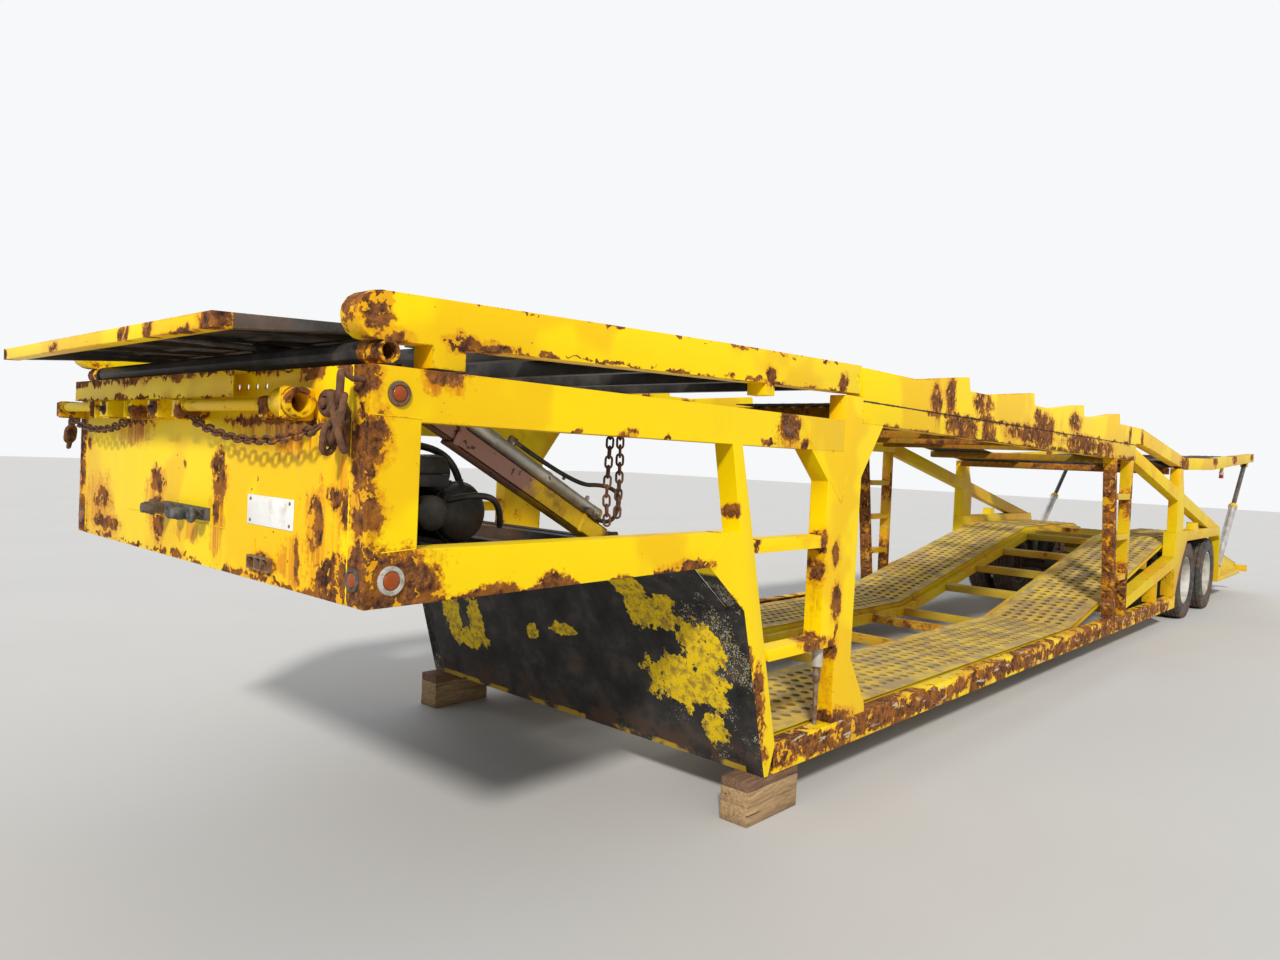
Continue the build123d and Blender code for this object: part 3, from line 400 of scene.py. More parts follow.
def yellowPaint(name, patches, edges, edgeWidth, grime, spots=(), bothSides=True,
                yellow=paintLook["yellow"], stains=(), dark=None, specks=0.0, scrapes=0.0, lines=(),
                seams=()):
    material, shader, vector = newMaterial(name)
    field, streak = spotFields(vector, spots, bothSides, lines)
    blush = spotFields(vector, stains, bothSides)[0]
    rust = useGroup(rustGroup, vector, {"Field": field, "Streak": streak, "Stains": blush,
                                        "Patches": patches, "Edges": edges, "Edge Width": edgeWidth})
    dirt = useGroup(grimeGroup, vector, {"Amount": grime})
    colour = mixOf(dirt["Mask"], yellow, paintLook["grime"])
    colour = mixOf(rust["Stain"], colour, mixOf(rust["Run"], paintLook["stain"], paintLook["run"]))
    colour = mixOf(rust["Rust"], colour, rust["Colour"])
    if scrapes:
        bare = stepOf(stretchedOf(vector, (3.0, 3.0, 14.0), 1.6, 7, 0.68), 0.6, 0.64, 0.0, scrapes)
        colour = mixOf(bare, colour, paintLook["scrape"])
    height = rust["Height"] + dirt["Ripple"] * 0.9
    # a dark coat over a mask: charcoal paint on forward faces, painted shade with dark rust on inner parts
    if dark:
        coat = useGroup(charcoalGroup, vector, {"Specks": specks})
        colour = mixOf(dark(vector), colour, coat["Colour"])
    for seam in seams:
        groove = seamOf(vector, *seam)
        colour = mixOf(groove, colour, paintLook["seam"])
        height = height - groove
    rough = stepOf(rust["Rust"], 0.0, 1.0, paintLook["roughness"], paintLook["rustRoughness"])
    return closeMaterial(material, shader, colour, rough, height, 0.004, 0.8, paintLook["shine"])


wornLook = {
    "dust": (0.3, 0.26, 0.2),
    "stain": (0.2, 0.085, 0.03),
    # painted shade: near black, for the shade inside holes and under the floors
    "soil": (0.012, 0.009, 0.007),
}


# plain finishes share one recipe: a colour that varies, rust or wear through it, and a fine grain
def wornFinish(name, colour, second, mixLow=0.45, mixHigh=0.6, scale=9.0, patches=0.1, edges=0.3,
               roughness=0.6, metallic=0.0, grain=160.0, depth=0.0015, dust=0.0, shadedHoles=False):
    material, shader, vector = newMaterial(name)
    rust = useGroup(rustGroup, vector, {"Patches": patches, "Edges": edges, "Edge Width": 0.012})
    tone = mixOf(stepOf(noiseOf(vector, scale, 7, 0.62), mixLow, mixHigh), colour, second)
    if dust:
        tone = mixOf(stepOf(noiseOf(vector, 14, 6, 0.7), 0.35, 0.75, 0.0, dust), tone, wornLook["dust"])
    tone = mixOf(rust["Stain"] * 0.7, tone, wornLook["stain"])
    tone = mixOf(rust["Rust"], tone, rust["Colour"])
    # painted shade: the soil attribute turns the hole walls and the plate's underside near black
    if shadedHoles:
        soil = addNode(vector, "Attribute", attribute_name="soil")["Fac"]
        tone = mixOf(soil, tone, wornLook["soil"])
    rough = mathOf("ADD", stepOf(rust["Rust"], 0.0, 1.0, roughness, paintLook["rustRoughness"]),
                   (noiseOf(vector, 30, 4) - 0.5) * 0.3, True)
    if metallic:
        setInputs(shader, {"Metallic": fadeOf(rust["Rust"], 0.0, 1.0, metallic)})
    return closeMaterial(material, shader, tone, rough, rust["Height"] + noiseOf(vector, grain, 3) * 0.4,
                         depth)


bulkheadLook = {
    "coat": (0.83, 0.57, 0.004),
    "dirtyCoat": (0.34, 0.21, 0.03),
    "wornThrough": (0.1, 0.055, 0.03),
    "mud": (0.085, 0.046, 0.03),
    "rim": (0.5, 0.32, 0.03),
    "specks": 0.8,
}


# dark plates with what is left of their yellow coat in listed patches
def darkPlate(name, patches):
    material, shader, vector = newMaterial(name)
    place = splitOf(vector)
    rag = noiseOf(vector, 9, 8, 0.66) - 0.5
    left = stepOf(spotFields(vector, patches, False)[0] + rag * 2.3, 0.0, 0.05)
    low = fadeOf(place["Z"], 0.22, 0.42)
    specks = larger(stepOf(place["Y"], 0.35, 1.15) * bulkheadLook["specks"], low * 0.6)
    coat = useGroup(charcoalGroup, vector, {"Specks": specks})
    dirty = mixOf(stepOf(noiseOf(vector, 26, 6, 0.65), 0.42, 0.66), bulkheadLook["coat"],
                  bulkheadLook["dirtyCoat"])
    colour = mixOf(left, coat["Colour"], dirty)
    worn = stepOf(noiseOf(vector, 42, 5, 0.7), 0.6, 0.64)
    colour = mixOf(worn * left, colour, bulkheadLook["wornThrough"])
    colour = mixOf(low * stepOf(noiseOf(vector, 9, 6, 0.7), 0.44, 0.56), colour, bulkheadLook["mud"])
    rim = fadeOf(place["Z"] + rag * 0.03, 0.232, 0.24) * stepOf(noiseOf(vector, 5, 3), 0.44, 0.52)
    colour = mixOf(rim, colour, bulkheadLook["rim"])
    return closeMaterial(material, shader, colour, 0.72, coat["Height"] + left * 0.3, 0.002, shine=0.3)


# shapes are lists of points and faces, turned into Blender meshes at the end
def newShape():
    return {"points": [], "faces": []}


def addMesh(shape, points, faces):
    start = len(shape["points"])
    shape["points"].extend(points)
    shape["faces"].extend([tuple(start + index for index in face) for face in faces])


def addSlab(shape, outline, offset):
    count = len(outline)
    points = list(outline) + [point + offset for point in outline]
    faces = [tuple(range(count)), tuple(range(2 * count - 1, count - 1, -1))]
    faces += [(i, (i + 1) % count, count + (i + 1) % count, count + i) for i in range(count)]
    addMesh(shape, points, faces)


# a plate or bar seen from the side: its outline as (station, height), between two y
def addSide(shape, outline, yFrom, yTo):
    addSlab(shape, [at(back, yFrom, z) for back, z in outline], Vector((0, yTo - yFrom, 0)))


def addBlock(shape, backs, ys, zs):
    addSide(shape, [(backs[0], zs[0]), (backs[1], zs[0]), (backs[1], zs[1]), (backs[0], zs[1])], *ys)


# a skin over rings of points, closed into a loop or capped at its two ends
def addRings(shape, rings, loop=False):
    count = len(rings[0])
    faces = []
    for i in range(len(rings) if loop else len(rings) - 1):
        low, high = i * count, (i + 1) % len(rings) * count
        faces += [(low + j, low + (j + 1) % count, high + (j + 1) % count, high + j) for j in range(count)]
    if not loop:
        faces += [tuple(range(count))[::-1], tuple(range((len(rings) - 1) * count, len(rings) * count))]
    addMesh(shape, [point for ring in rings for point in ring], faces)


def ringOf(centre, first, second, radius, sides, turn=0.0):
    angles = [math.tau * (i + turn) / sides for i in range(sides)]
    return [centre + (first * math.cos(angle) + second * math.sin(angle)) * radius for angle in angles]


def sidesOf(axis):
    first = axis.orthogonal().normalized()
    return first, axis.cross(first).normalized()


# points of a profile, from pairs of millimetres
def pairs(*values):
    return [(values[i] / 1000, values[i + 1] / 1000) for i in range(0, len(values), 2)]


# turned shapes: the profile is (distance along the axis, radius)
def addLathe(shape, origin, axis, profile, sides=32, loop=False):
    axis = Vector(axis).normalized()
    first, second = sidesOf(axis)
    rings = [ringOf(origin + axis * along, first, second, max(radius, 0.0004), sides)
             for along, radius in profile]
    addRings(shape, rings, loop)


def addRod(shape, start, end, radius, sides=16, chamfer=0.0):
    length = (end - start).length
    profile = [(0, radius), (length, radius)]
    if chamfer:
        profile = [(0, radius - chamfer), (chamfer, radius), (length - chamfer, radius),
                   (length, radius - chamfer)]
    addLathe(shape, start, end - start, profile, sides)


# a round bar along a path of points, with the frame carried along so that it doesn't twist
def addSweep(shape, path, radius, sides=10, loop=False):
    count = len(path)
    rings = []
    first = None
    for i, point in enumerate(path):
        before = path[i - 1] if i or loop else point
        after = path[(i + 1) % count] if i < count - 1 or loop else point
        axis = (after - before).normalized()
        if first is None:
            first = axis.orthogonal().normalized()
        first = (first - axis * first.dot(axis)).normalized()
        rings.append(ringOf(point, first, axis.cross(first), radius, sides))
    addRings(shape, rings, loop)


# a weld bead: a thin uneven ridge along a line
def addWeld(shape, start, end, radius=0.004):
    count = max(3, int((end - start).length / 0.012))
    axis = (end - start).normalized()
    first, second = sidesOf(axis)
    rings = []
    for i in range(count + 1):
        swell = radius * (0.85 + 0.3 * (i % 2) + rng.uniform(-0.1, 0.1))
        rings.append(ringOf(start.lerp(end, i / count), first, second, swell, 6))
    addRings(shape, rings)


# a bolt head and washer on a face; out is the way it looks
def addBolt(shape, place, out, radius=0.012):
    out = Vector(out)
    addLathe(shape, place - out * 0.002, out, [(0, radius * 1.7), (0.005, radius * 1.7)], 16)
    first, second = sidesOf(out)
    turn = rng.random()
    heights = ((0, 1.0), (radius * 0.9, 1.0), (radius * 1.15, 0.86))
    rings = [ringOf(place + out * (0.002 + high), first, second, radius * wide, 6, turn)
             for high, wide in heights]
    addRings(shape, rings)


edgeLook = {
    "weldGap": 0.00002,
    "bevelSegments": 2,
    "bevelAngle": 32,
    "smoothAngle": 0.6,
}


# shade smooth except across edges sharper than a limit, after all other modifiers
def buildSmoothGroup():
    tree, start, end = newGroup("smoothByAngle", {"Geometry": "Geometry", "Limit": edgeLook["smoothAngle"]},
                                {"Geometry": "Geometry"}, "GeometryNodeTree")
    angle = addNode(tree, "GeometryNodeInputMeshEdgeAngle")["Unsigned Angle"]
    gentle = addNode(tree, "FunctionNodeCompare", {"A": angle, "B": start["Limit"]},
                     operation="LESS_THAN")["Result"]
    clean = addNode(tree, "GeometryNodeRemoveAttribute", {"Geometry": start["Geometry"],
                                                          "Name": "custom_normal"})
    faces = addNode(tree, "GeometryNodeSetShadeSmooth", {"Geometry": clean["Geometry"],
                                                         "Shade Smooth": True})
    edges = addNode(tree, "GeometryNodeSetShadeSmooth", {"Geometry": faces["Geometry"],
                                                         "Shade Smooth": gentle}, domain="EDGE")
    setInputs(end, {"Geometry": edges["Geometry"]})
    return tree


smoothGroup = buildSmoothGroup()


def soften(piece, width, weld=False):
    if weld:
        piece.modifiers.new("weld", "WELD").merge_threshold = edgeLook["weldGap"]
    if width:
        bevel = piece.modifiers.new("bevel", "BEVEL")
        bevel.width = width
        bevel.segments = edgeLook["bevelSegments"]
        bevel.limit_method = "ANGLE"
        bevel.angle_limit = math.radians(edgeLook["bevelAngle"])
    piece.modifiers.new("smooth", "NODES").node_group = smoothGroup


# a shape becomes a piece: its mesh and finish, the body it rides and the solids it stands for, which are
# hidden
def finishPiece(shape, name, material, body="trailer", slot="yellow_paint", replaced=(), width=0.0):
    mesh = bpy.data.meshes.new(name)
    mesh.from_pydata(shape["points"], [], shape["faces"])
    work = bmesh.new()
    work.from_mesh(mesh)
    bmesh.ops.recalc_face_normals(work, faces=work.faces)
    work.to_mesh(mesh)
    work.free()
    # painted shade: the soil attribute darkens perforated floors inside their holes and under the plate
    if "soil" in shape:
        soil = mesh.attributes.new("soil", "FLOAT", "POINT")
        for index, value in shape["soil"].items():
            soil.data[index].value = value
    mesh.materials.append(material)
    piece = bpy.data.objects.new(name, mesh)
    scene.collection.objects.link(piece)
    soften(piece, width)
    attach(piece, body)
    if replaced:
        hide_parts(*replaced)


# solids that stay as they are get a finish and softened edges
def dress(names, material, width=0.004):
    for name in names.split():
        node = nodes[name]
        node.data.materials.clear()
        node.data.materials.append(material)
        soften(node, width, weld=True)


# the camera stands where the photograph was taken, 1.65 m above the ground off the front left corner
cameraLook = {
    "place": (8.753, 3.553, 1.6545),
    "forward": (-0.7391, -0.6732, -0.0258),
    "right": (-0.6736, 0.7378, 0.0452),
    "sensor": 36,
    "lens": 24.98,
    "sight": 200,
}


def addCamera():
    forward = Vector(cameraLook["forward"]).normalized()
    right = Vector(cameraLook["right"]).normalized()
    up = right.cross(forward)
    data = bpy.data.cameras.new("camera")
    data.sensor_width = cameraLook["sensor"]
    data.lens = cameraLook["lens"]
    data.clip_end = cameraLook["sight"]
    camera = bpy.data.objects.new("camera", data)
    rows = [(right[i], up[i], -forward[i], cameraLook["place"][i]) for i in range(3)]
    camera.matrix_world = Matrix((*rows, (0, 0, 0, 1)))
    scene.collection.objects.link(camera)
    scene.camera = camera


addCamera()

lightLook = {
    "sunPower": 3.15,
    "sunAngle": 6.0,
    "sunFrom": (0.85, 0.66, 0.76),
    "sunColour": (1.0, 0.965, 0.9),
    "fillPower": 0.4,
    "fillAngle": 40,
    "fillFrom": (-0.6, -0.9, 0.9),
    "fillColour": (0.92, 0.96, 1.0),
    "skyStrength": 0.6,
    "sky": (0.9, 0.95, 1.0),
    "background": (0.93, 0.94, 0.95),
    "floor": (0.52, 0.51, 0.5),
    "floorMottle": 1.08,
    "floorReach": 60,
}


def addSun(name, kind):
    data = bpy.data.lights.new(name, "SUN")
    data.energy = lightLook[kind + "Power"]
    data.angle = math.radians(lightLook[kind + "Angle"])
    data.color = lightLook[kind + "Colour"]
    light = bpy.data.objects.new(name, data)
    light.rotation_mode = "QUATERNION"
    light.rotation_quaternion = Vector(lightLook[kind + "From"]).to_track_quat("Z", "Y")
    scene.collection.objects.link(light)


addSun("keyLight", "sun")
addSun("backLight", "fill")

# the world lights with a pale sky, and shows an even pale wall behind the object
world = bpy.data.worlds.new("studio")
scene.world = world
world.use_nodes = True
worldTree = world.node_tree
worldTree.nodes.clear()
sky = addNode(worldTree, "Background", {"Color": (*lightLook["sky"], 1),
                                        "Strength": lightLook["skyStrength"]})
wall = addNode(worldTree, "Background", {"Color": (*lightLook["background"], 1), "Strength": 1.0})
path = addNode(worldTree, "LightPath")
seen = larger(path["Is Camera Ray"], larger(path["Is Glossy Ray"], path["Is Transmission Ray"]))
both = addNode(worldTree, "MixShader", {0: seen, 1: sky["Background"], 2: wall["Background"]})
addNode(worldTree, "OutputWorld", {"Surface": both["Shader"]})

scene.view_settings.view_transform = "Standard"

floorMesh = bpy.data.meshes.new("floor")
reach = lightLook["floorReach"]
floorMesh.from_pydata([(-reach, -reach, 0), (reach, -reach, 0), (reach, reach, 0), (-reach, reach, 0)], [],
                      [(0, 1, 2, 3)])
floor = bpy.data.objects.new("floor", floorMesh)
scene.collection.objects.link(floor)
floorMaterial, floorShader, floorVector = newMaterial("studioFloor")
floorTone = mixOf(noiseOf(floorVector, 0.6, 5), lightLook["floor"],
                  tuple(value * lightLook["floorMottle"] for value in lightLook["floor"]))
setInputs(floorShader, {"Base Color": floorTone, "Roughness": 0.9})
floorMesh.materials.append(floorMaterial)
print("camera, lights and floor made")


# rust seen on each piece in the photograph, as rows for spotFields; rows on a side share y and half width,
# and rows on a face that looks forwards share station and half length
def spotsBeside(y, across, rows):
    return [(back, y, z, along, across, *rest) for back, z, along, *rest in rows]


def spotsAcross(back, along, rows):
    return [(back, y, z, along, across, *rest) for y, z, across, *rest in rows]


gooseneckSpots = [
    (0.03, 1.28, 1.26, 0.2, 0.24, 0.1), (0.14, 1.295, 1.21, 0.13, 0.1, 0.06),
    (0.0, 1.28, 1.67, 0.06, 0.09, 0.08), (0.0, 1.26, 1.57, 0.03, 0.05, 0.06, 0.14),
    (0.0, 1.27, 1.47, 0.06, 0.08, 0.075, 0.15), (0.25, 1.295, 1.875, 0.075, 0.1, 0.035, 0.1),
    (0.0, 1.26, 1.84, 0.03, 0.05, 0.06, 0.12), (0.0, 1.22, 1.87, 0.04, 0.1, 0.03),
    (0.79, 1.295, 1.727, 0.03, 0.1, 0.012), (1.07, 1.295, 1.735, 0.06, 0.1, 0.022),
    (1.29, 1.295, 1.73, 0.025, 0.1, 0.012), (2.15, 1.295, 1.83, 0.095, 0.1, 0.075, 0.12),
    (2.3, 1.295, 1.75, 0.04, 0.1, 0.03), (1.98, 1.295, 1.735, 0.05, 0.1, 0.015),
    (0.72, 1.295, 1.215, 0.06, 0.1, 0.03), (1.5, 1.295, 1.225, 0.11, 0.1, 0.025),
    (1.66, 1.24, 1.42, 0.045, 0.06, 0.065), (1.78, 1.295, 1.435, 0.03, 0.1, 0.035),
    (1.8, 1.29, 0.95, 0.06, 0.1, 0.06), (1.98, 1.29, 0.6, 0.05, 0.1, 0.14),
]
gooseneckLines = [
    ((0.12, 1.29, 1.188), (1.54, 1.29, 1.193), 0.022), ((1.56, 1.29, 1.2), (1.7, 1.29, 1.09), 0.026),
    ((1.72, 1.28, 1.08), (2.06, 1.28, 0.34), 0.046), ((0.0, 1.255, 1.88), (0.0, 1.255, 1.2), 0.012),
]
wellPostSpots = [
    (2.49, 1.25, 1.13, 0.05, 0.07, 0.075, 0.36), (2.63, 1.295, 1.22, 0.04, 0.1, 0.065),
    (2.65, 1.295, 0.98, 0.045, 0.1, 0.085, 0.25), (2.656, 1.295, 0.82, 0.012, 0.1, 0.05),
    (2.45, 1.295, 0.785, 0.12, 0.1, 0.04, 0.1), (2.64, 1.295, 0.725, 0.05, 0.1, 0.06),
    (2.6, 1.25, 0.55, 0.05, 0.12, 0.15), (2.7, 1.295, 0.37, 0.16, 0.1, 0.04),
    (2.51, 1.295, 1.28, 0.03, 0.1, 0.05), (1.93, 1.295, 1.28, 0.02, 0.1, 0.05),
]
noseSpots = spotsAcross(0.0, 0.1, [
    (0.3, 1.52, 0.065, 0.095, 0.4), (-0.3, 1.47, 0.075, 0.05, 0.1), (-0.28, 1.33, 0.06, 0.09, 0.12),
    (-0.96, 1.36, 0.11, 0.05, 0.12), (-0.9, 1.255, 0.16, 0.035), (1.0, 1.41, 0.055, 0.085, 0.16),
    (1.12, 1.49, 0.045, 0.035, 0.1), (0.28, 1.4, 0.03, 0.05), (0.89, 1.28, 0.02, 0.06, 0.1),
    (1.16, 1.24, 0.14, 0.075), (-1.26, 1.27, 0.08, 0.11), (0.72, 1.72, 0.38, 0.02, 0.14),
    (-0.55, 1.715, 0.2, 0.018, 0.12), (0.95, 1.87, 0.07, 0.025, 0.05), (0.65, 1.244, 0.09, 0.035),
    (-1.16, 1.6, 0.03, 0.03), (-0.02, 1.56, 0.015, 0.018, 0.06), (1.2, 1.68, 0.07, 0.07, 0.1),
    (1.2, 1.47, 0.06, 0.06, 0.1),
])
noseLines = [
    ((0.0, -1.2, 1.888), (0.0, -0.1, 1.888), 0.018),
    ((-0.06, -1.17, 1.884), (-0.06, 0.52, 1.884), 0.02),
    ((-0.06, -1.17, 1.797), (-0.06, 0.52, 1.797), 0.012),
    ((-0.06, 0.51, 1.795), (-0.06, 0.51, 1.884), 0.012),
    ((0.0, 0.5, 1.888), (0.0, 1.2, 1.888), 0.014),
    ((0.0, -1.2, 1.19), (0.0, 1.2, 1.19), 0.012),
]
beamSpots = [
    (0.0, 1.26, 2.063, 0.05, 0.12, 0.075), (0.036, 1.295, 2.063, 0.032, 0.06, 0.08),
    (0.32, 1.26, 1.975, 0.06, 0.1, 0.03), (0.43, 1.26, 1.972, 0.05, 0.1, 0.025),
    (1.98, 1.29, 2.05, 0.05, 0.06, 0.05, 0.1), (2.62, 1.29, 2.06, 0.04, 0.08, 0.05, 0.08),
    (0.06, 1.26, 1.925, 0.07, 0.05, 0.06), (0.05, 1.16, 1.925, 0.06, 0.05, 0.06),
]
beamLines = [((0.25, 1.29, 1.975), (2.65, 1.29, 2.02), 0.01),
             ((0.36, 1.29, 2.12), (2.6, 1.29, 2.17), 0.006)]
railSpots = spotsBeside(1.27, 0.12, [
    (3.71, 2.07, 0.08, 0.09, 0.26), (3.9, 2.1, 0.08, 0.13, 0.2), (4.1, 1.93, 0.24, 0.075, 0.1),
    (4.42, 2.1, 0.15, 0.08), (4.52, 1.93, 0.12, 0.1), (5.2, 1.95, 0.36, 0.06), (5.6, 1.98, 0.24, 0.13),
    (6.34, 2.09, 0.16, 0.08, 0.15), (6.55, 1.93, 0.46, 0.07), (7.2, 1.91, 0.26, 0.07),
    (5.45, 2.09, 0.08, 0.05), (8.0, 2.07, 0.05, 0.09), (8.45, 2.05, 0.05, 0.1),
    (10.33, 1.78, 0.18, 0.16, 0.1),
])
railLines = [((2.9, 1.29, 1.858), (8.3, 1.29, 1.848), 0.02),
             ((3.6, 1.29, 1.995), (8.0, 1.29, 1.985), 0.012)]
rearRailSpots = spotsBeside(1.27, 0.12, [
    (12.2, 1.93, 0.14, 0.07), (13.55, 2.0, 0.18, 0.07), (15.0, 2.08, 0.14, 0.06), (10.5, 1.85, 0.12, 0.12),
])

gooseneckStains = [
    (0.0, 1.27, 1.52, 0.06, 0.07, 0.3), (0.1, 1.295, 1.32, 0.2, 0.1, 0.05),
    (2.14, 1.295, 1.77, 0.12, 0.1, 0.1), (0.25, 1.295, 1.84, 0.12, 0.1, 0.05),
]
noseStains = spotsAcross(0.0, 0.1, [
    (0.28, 1.42, 0.07, 0.24), (-0.33, 1.38, 0.13, 0.15), (-1.0, 1.36, 0.2, 0.16), (1.02, 1.38, 0.16, 0.2),
    (0.85, 1.27, 0.12, 0.1), (1.14, 1.55, 0.08, 0.28), (0.03, 1.3, 0.16, 0.06), (-0.6, 1.66, 0.25, 0.07),
    (0.9, 1.66, 0.35, 0.07),
])
bulkheadPatches = [
    (1.9, -0.98, 0.62, 0.3, 0.09, 0.15), (1.9, -0.73, 0.62, 0.3, 0.08, 0.15),
    (1.9, -0.86, 0.49, 0.3, 0.19, 0.07), (1.8, 0.62, 1.03, 0.3, 0.15, 0.07),
    (1.83, 0.74, 0.92, 0.3, 0.19, 0.1), (1.87, 1.03, 0.78, 0.3, 0.15, 0.13),
    (1.92, 0.92, 0.59, 0.3, 0.27, 0.13), (1.98, 1.03, 0.38, 0.3, 0.08, 0.09),
    (1.9, -0.22, 0.65, 0.3, 0.06, 0.05), (1.9, 0.05, 0.7, 0.3, 0.1, 0.04),
]
rackSpots = [
    (-0.36, 1.07, 1.975, 0.06, 0.07, 0.05), (-0.36, 0.62, 1.98, 0.05, 0.045, 0.03),
    (-0.36, 0.4, 1.985, 0.05, 0.05, 0.02), (-0.36, -0.35, 1.955, 0.05, 0.06, 0.02),
    (-0.36, -1.08, 1.975, 0.05, 0.05, 0.04), (-0.36, 0.85, 1.952, 0.05, 0.1, 0.012),
]
tieSpots = spotsAcross(-0.08, 0.12, [
    (-1.26, 1.76, 0.035, 0.05), (-0.77, 1.765, 0.045, 0.05), (-0.61, 1.775, 0.025, 0.03),
    (-0.31, 1.745, 0.03, 0.03), (-0.06, 1.765, 0.055, 0.045), (0.18, 1.745, 0.03, 0.03),
    (0.85, 1.765, 0.03, 0.04), (1.03, 1.8, 0.05, 0.03), (1.12, 1.74, 0.06, 0.03),
])
ladderSpots = spotsBeside(1.27, 0.14, [
    (7.6, 1.62, 0.1, 0.2), (7.66, 1.25, 0.11, 0.26), (7.72, 0.88, 0.11, 0.22), (7.79, 0.52, 0.12, 0.24),
    (8.17, 0.6, 0.06, 0.28), (8.17, 1.45, 0.05, 0.2),
])
sillSpots = spotsBeside(1.27, 0.14, [
    (2.24, 0.3, 0.14, 0.09), (2.7, 0.27, 0.45, 0.05), (3.25, 0.3, 0.3, 0.07), (4.6, 0.29, 0.4, 0.06),
    (5.6, 0.3, 0.4, 0.07), (6.7, 0.28, 0.5, 0.06), (7.8, 0.3, 0.5, 0.08), (9.2, 0.28, 0.6, 0.06),
])
sillLines = [((2.2, 1.28, 0.27), (9.9, 1.28, 0.27), 0.085)]

paintGooseneck = yellowPaint("paintGooseneck", 0.04, 0.34, 0.016, 0.16, gooseneckSpots,
                             stains=gooseneckStains, dark=frontFacing(1.58, 1.16), specks=0.9,
                             lines=gooseneckLines)
paintPosts = yellowPaint("paintPosts", 0.05, 0.36, 0.016, 0.18, wellPostSpots)
paintNose = yellowPaint("paintNose", 0.06, 0.4, 0.014, 0.22, noseSpots, False, stains=noseStains,
                        lines=noseLines)
# beams, rails and rear frames: charcoal on their inner parts is painted shade with dark rust
paintBeams = yellowPaint("paintBeams", 0.05, 0.38, 0.016, 0.16, beamSpots, dark=shadedInsideOf(1.17), specks=0.2,
                         lines=beamLines)
paintRails = yellowPaint("paintRails", 0.13, 0.5, 0.018, 0.34, railSpots, dark=shadedInsideOf(1.17), specks=0.2,
                         lines=railLines, seams=[(2.72, 1.995, 8.25, 1.985, 0.0055)])
# painted shade with dirt: the rear, lower and ladder paints have a darker yellow and heavy grime that stand
# partly for the shade over these parts
paintRearDirtAndShade = yellowPaint("paintRearDirtAndShade", 0.17, 0.52, 0.016, 0.75, rearRailSpots, yellow=(0.8, 0.56, 0.002),
                        dark=shadedInsideOf(1.17), specks=0.2)
paintLowerDirtAndShade = yellowPaint("paintLowerDirtAndShade", 0.31, 0.56, 0.014, 0.9, yellow=(0.7, 0.49, 0.006))
paintSills = yellowPaint("paintSills", 0.4, 0.66, 0.02, 0.5, sillSpots, scrapes=0.85, lines=sillLines)
paintLaddersDirtAndShade = yellowPaint("paintLaddersDirtAndShade", 0.18, 0.58, 0.016, 0.8, ladderSpots, yellow=(0.66, 0.44, 0.006),
                           scrapes=0.3)
paintTies = yellowPaint("paintTies", 0.3, 0.7, 0.008, 0.45, tieSpots, False)
paintRack = yellowPaint("paintRack", 0.2, 0.62, 0.01, 0.3, rackSpots, False)
# painted shade with dirt: cross members get a dark yellow and heavy grime that stand partly for shade
paintCrossDirtAndShade = yellowPaint("paintCrossDirtAndShade", 0.38, 0.68, 0.016, 0.9, yellow=(0.44, 0.3, 0.03))
blackFrame = wornFinish("blackFrame", (0.016, 0.015, 0.014), (0.045, 0.038, 0.032), patches=0.1, edges=0.4)
# painted shade with rust: the members under the middle deck get a very dark yellow that stands partly for
# the shade under the deck
paintUnderRustAndShade = yellowPaint("paintUnderRustAndShade", 0.62, 0.76, 0.016, 0.9, yellow=(0.22, 0.13, 0.012))
bulkheadPaint = darkPlate("bulkheadPaint", bulkheadPatches)

dress("gooseneck_side_left gooseneck_side_right", paintGooseneck)
dress("well_post_left well_post_right", paintPosts)
dress("nose_wall", paintNose, 0.003)
dress("front_deck_frame", paintBeams, 0.003)
dress("upper_rails", paintRails)
dress("rear_deck_frame rear_frames", paintRearDirtAndShade)
dress("fenders tail_frame inner_beams", paintLowerDirtAndShade)
dress("cross_members", paintCrossDirtAndShade)
dress("middle_deck_members", paintUnderRustAndShade)
dress("sills", paintSills, 0.003)
dress("ladders", paintLaddersDirtAndShade)
dress("gooseneck_floor kingpin", blackFrame, 0.003)
dress("bulkhead", bulkheadPaint, 0.002)
print("frame painted")


# perforated floors: round holes with raised lips on a grid, bent along a line of (station, height) points
runwayLook = {
    "pitchAlong": 0.098,
    "pitchAcross": 0.09,
    "border": 0.075,
    "lipRadius": 0.0345,
    "holeRadius": 0.026,
    "lipHeight": 0.0045,
    "plate": 0.005,
    "collar": 0.018,
    # painted shade at the lip's top of each hole
    "soil": 0.35,
    "edge": 0.006,
    "edgeDepth": 0.045,
    "edgeRise": 0.002,
}
deckLook = {**runwayLook, "lipRadius": 0.025, "holeRadius": 0.0175, "lipHeight": 0.0035, "collar": 0.005}
holeSides = 12


# the place, and the way of the line, at a distance along it
def frameAlong(line, distance):
    for (backA, zA), (backB, zB) in zip(line, line[1:]):
        run = math.hypot(backB - backA, zB - zA)
        way = (backB - backA) / run, (zB - zA) / run
        if distance <= run:
            share = distance / run
            return backA + (backB - backA) * share, zA + (zB - zA) * share, *way
        distance -= run
    return backB, zB, *way


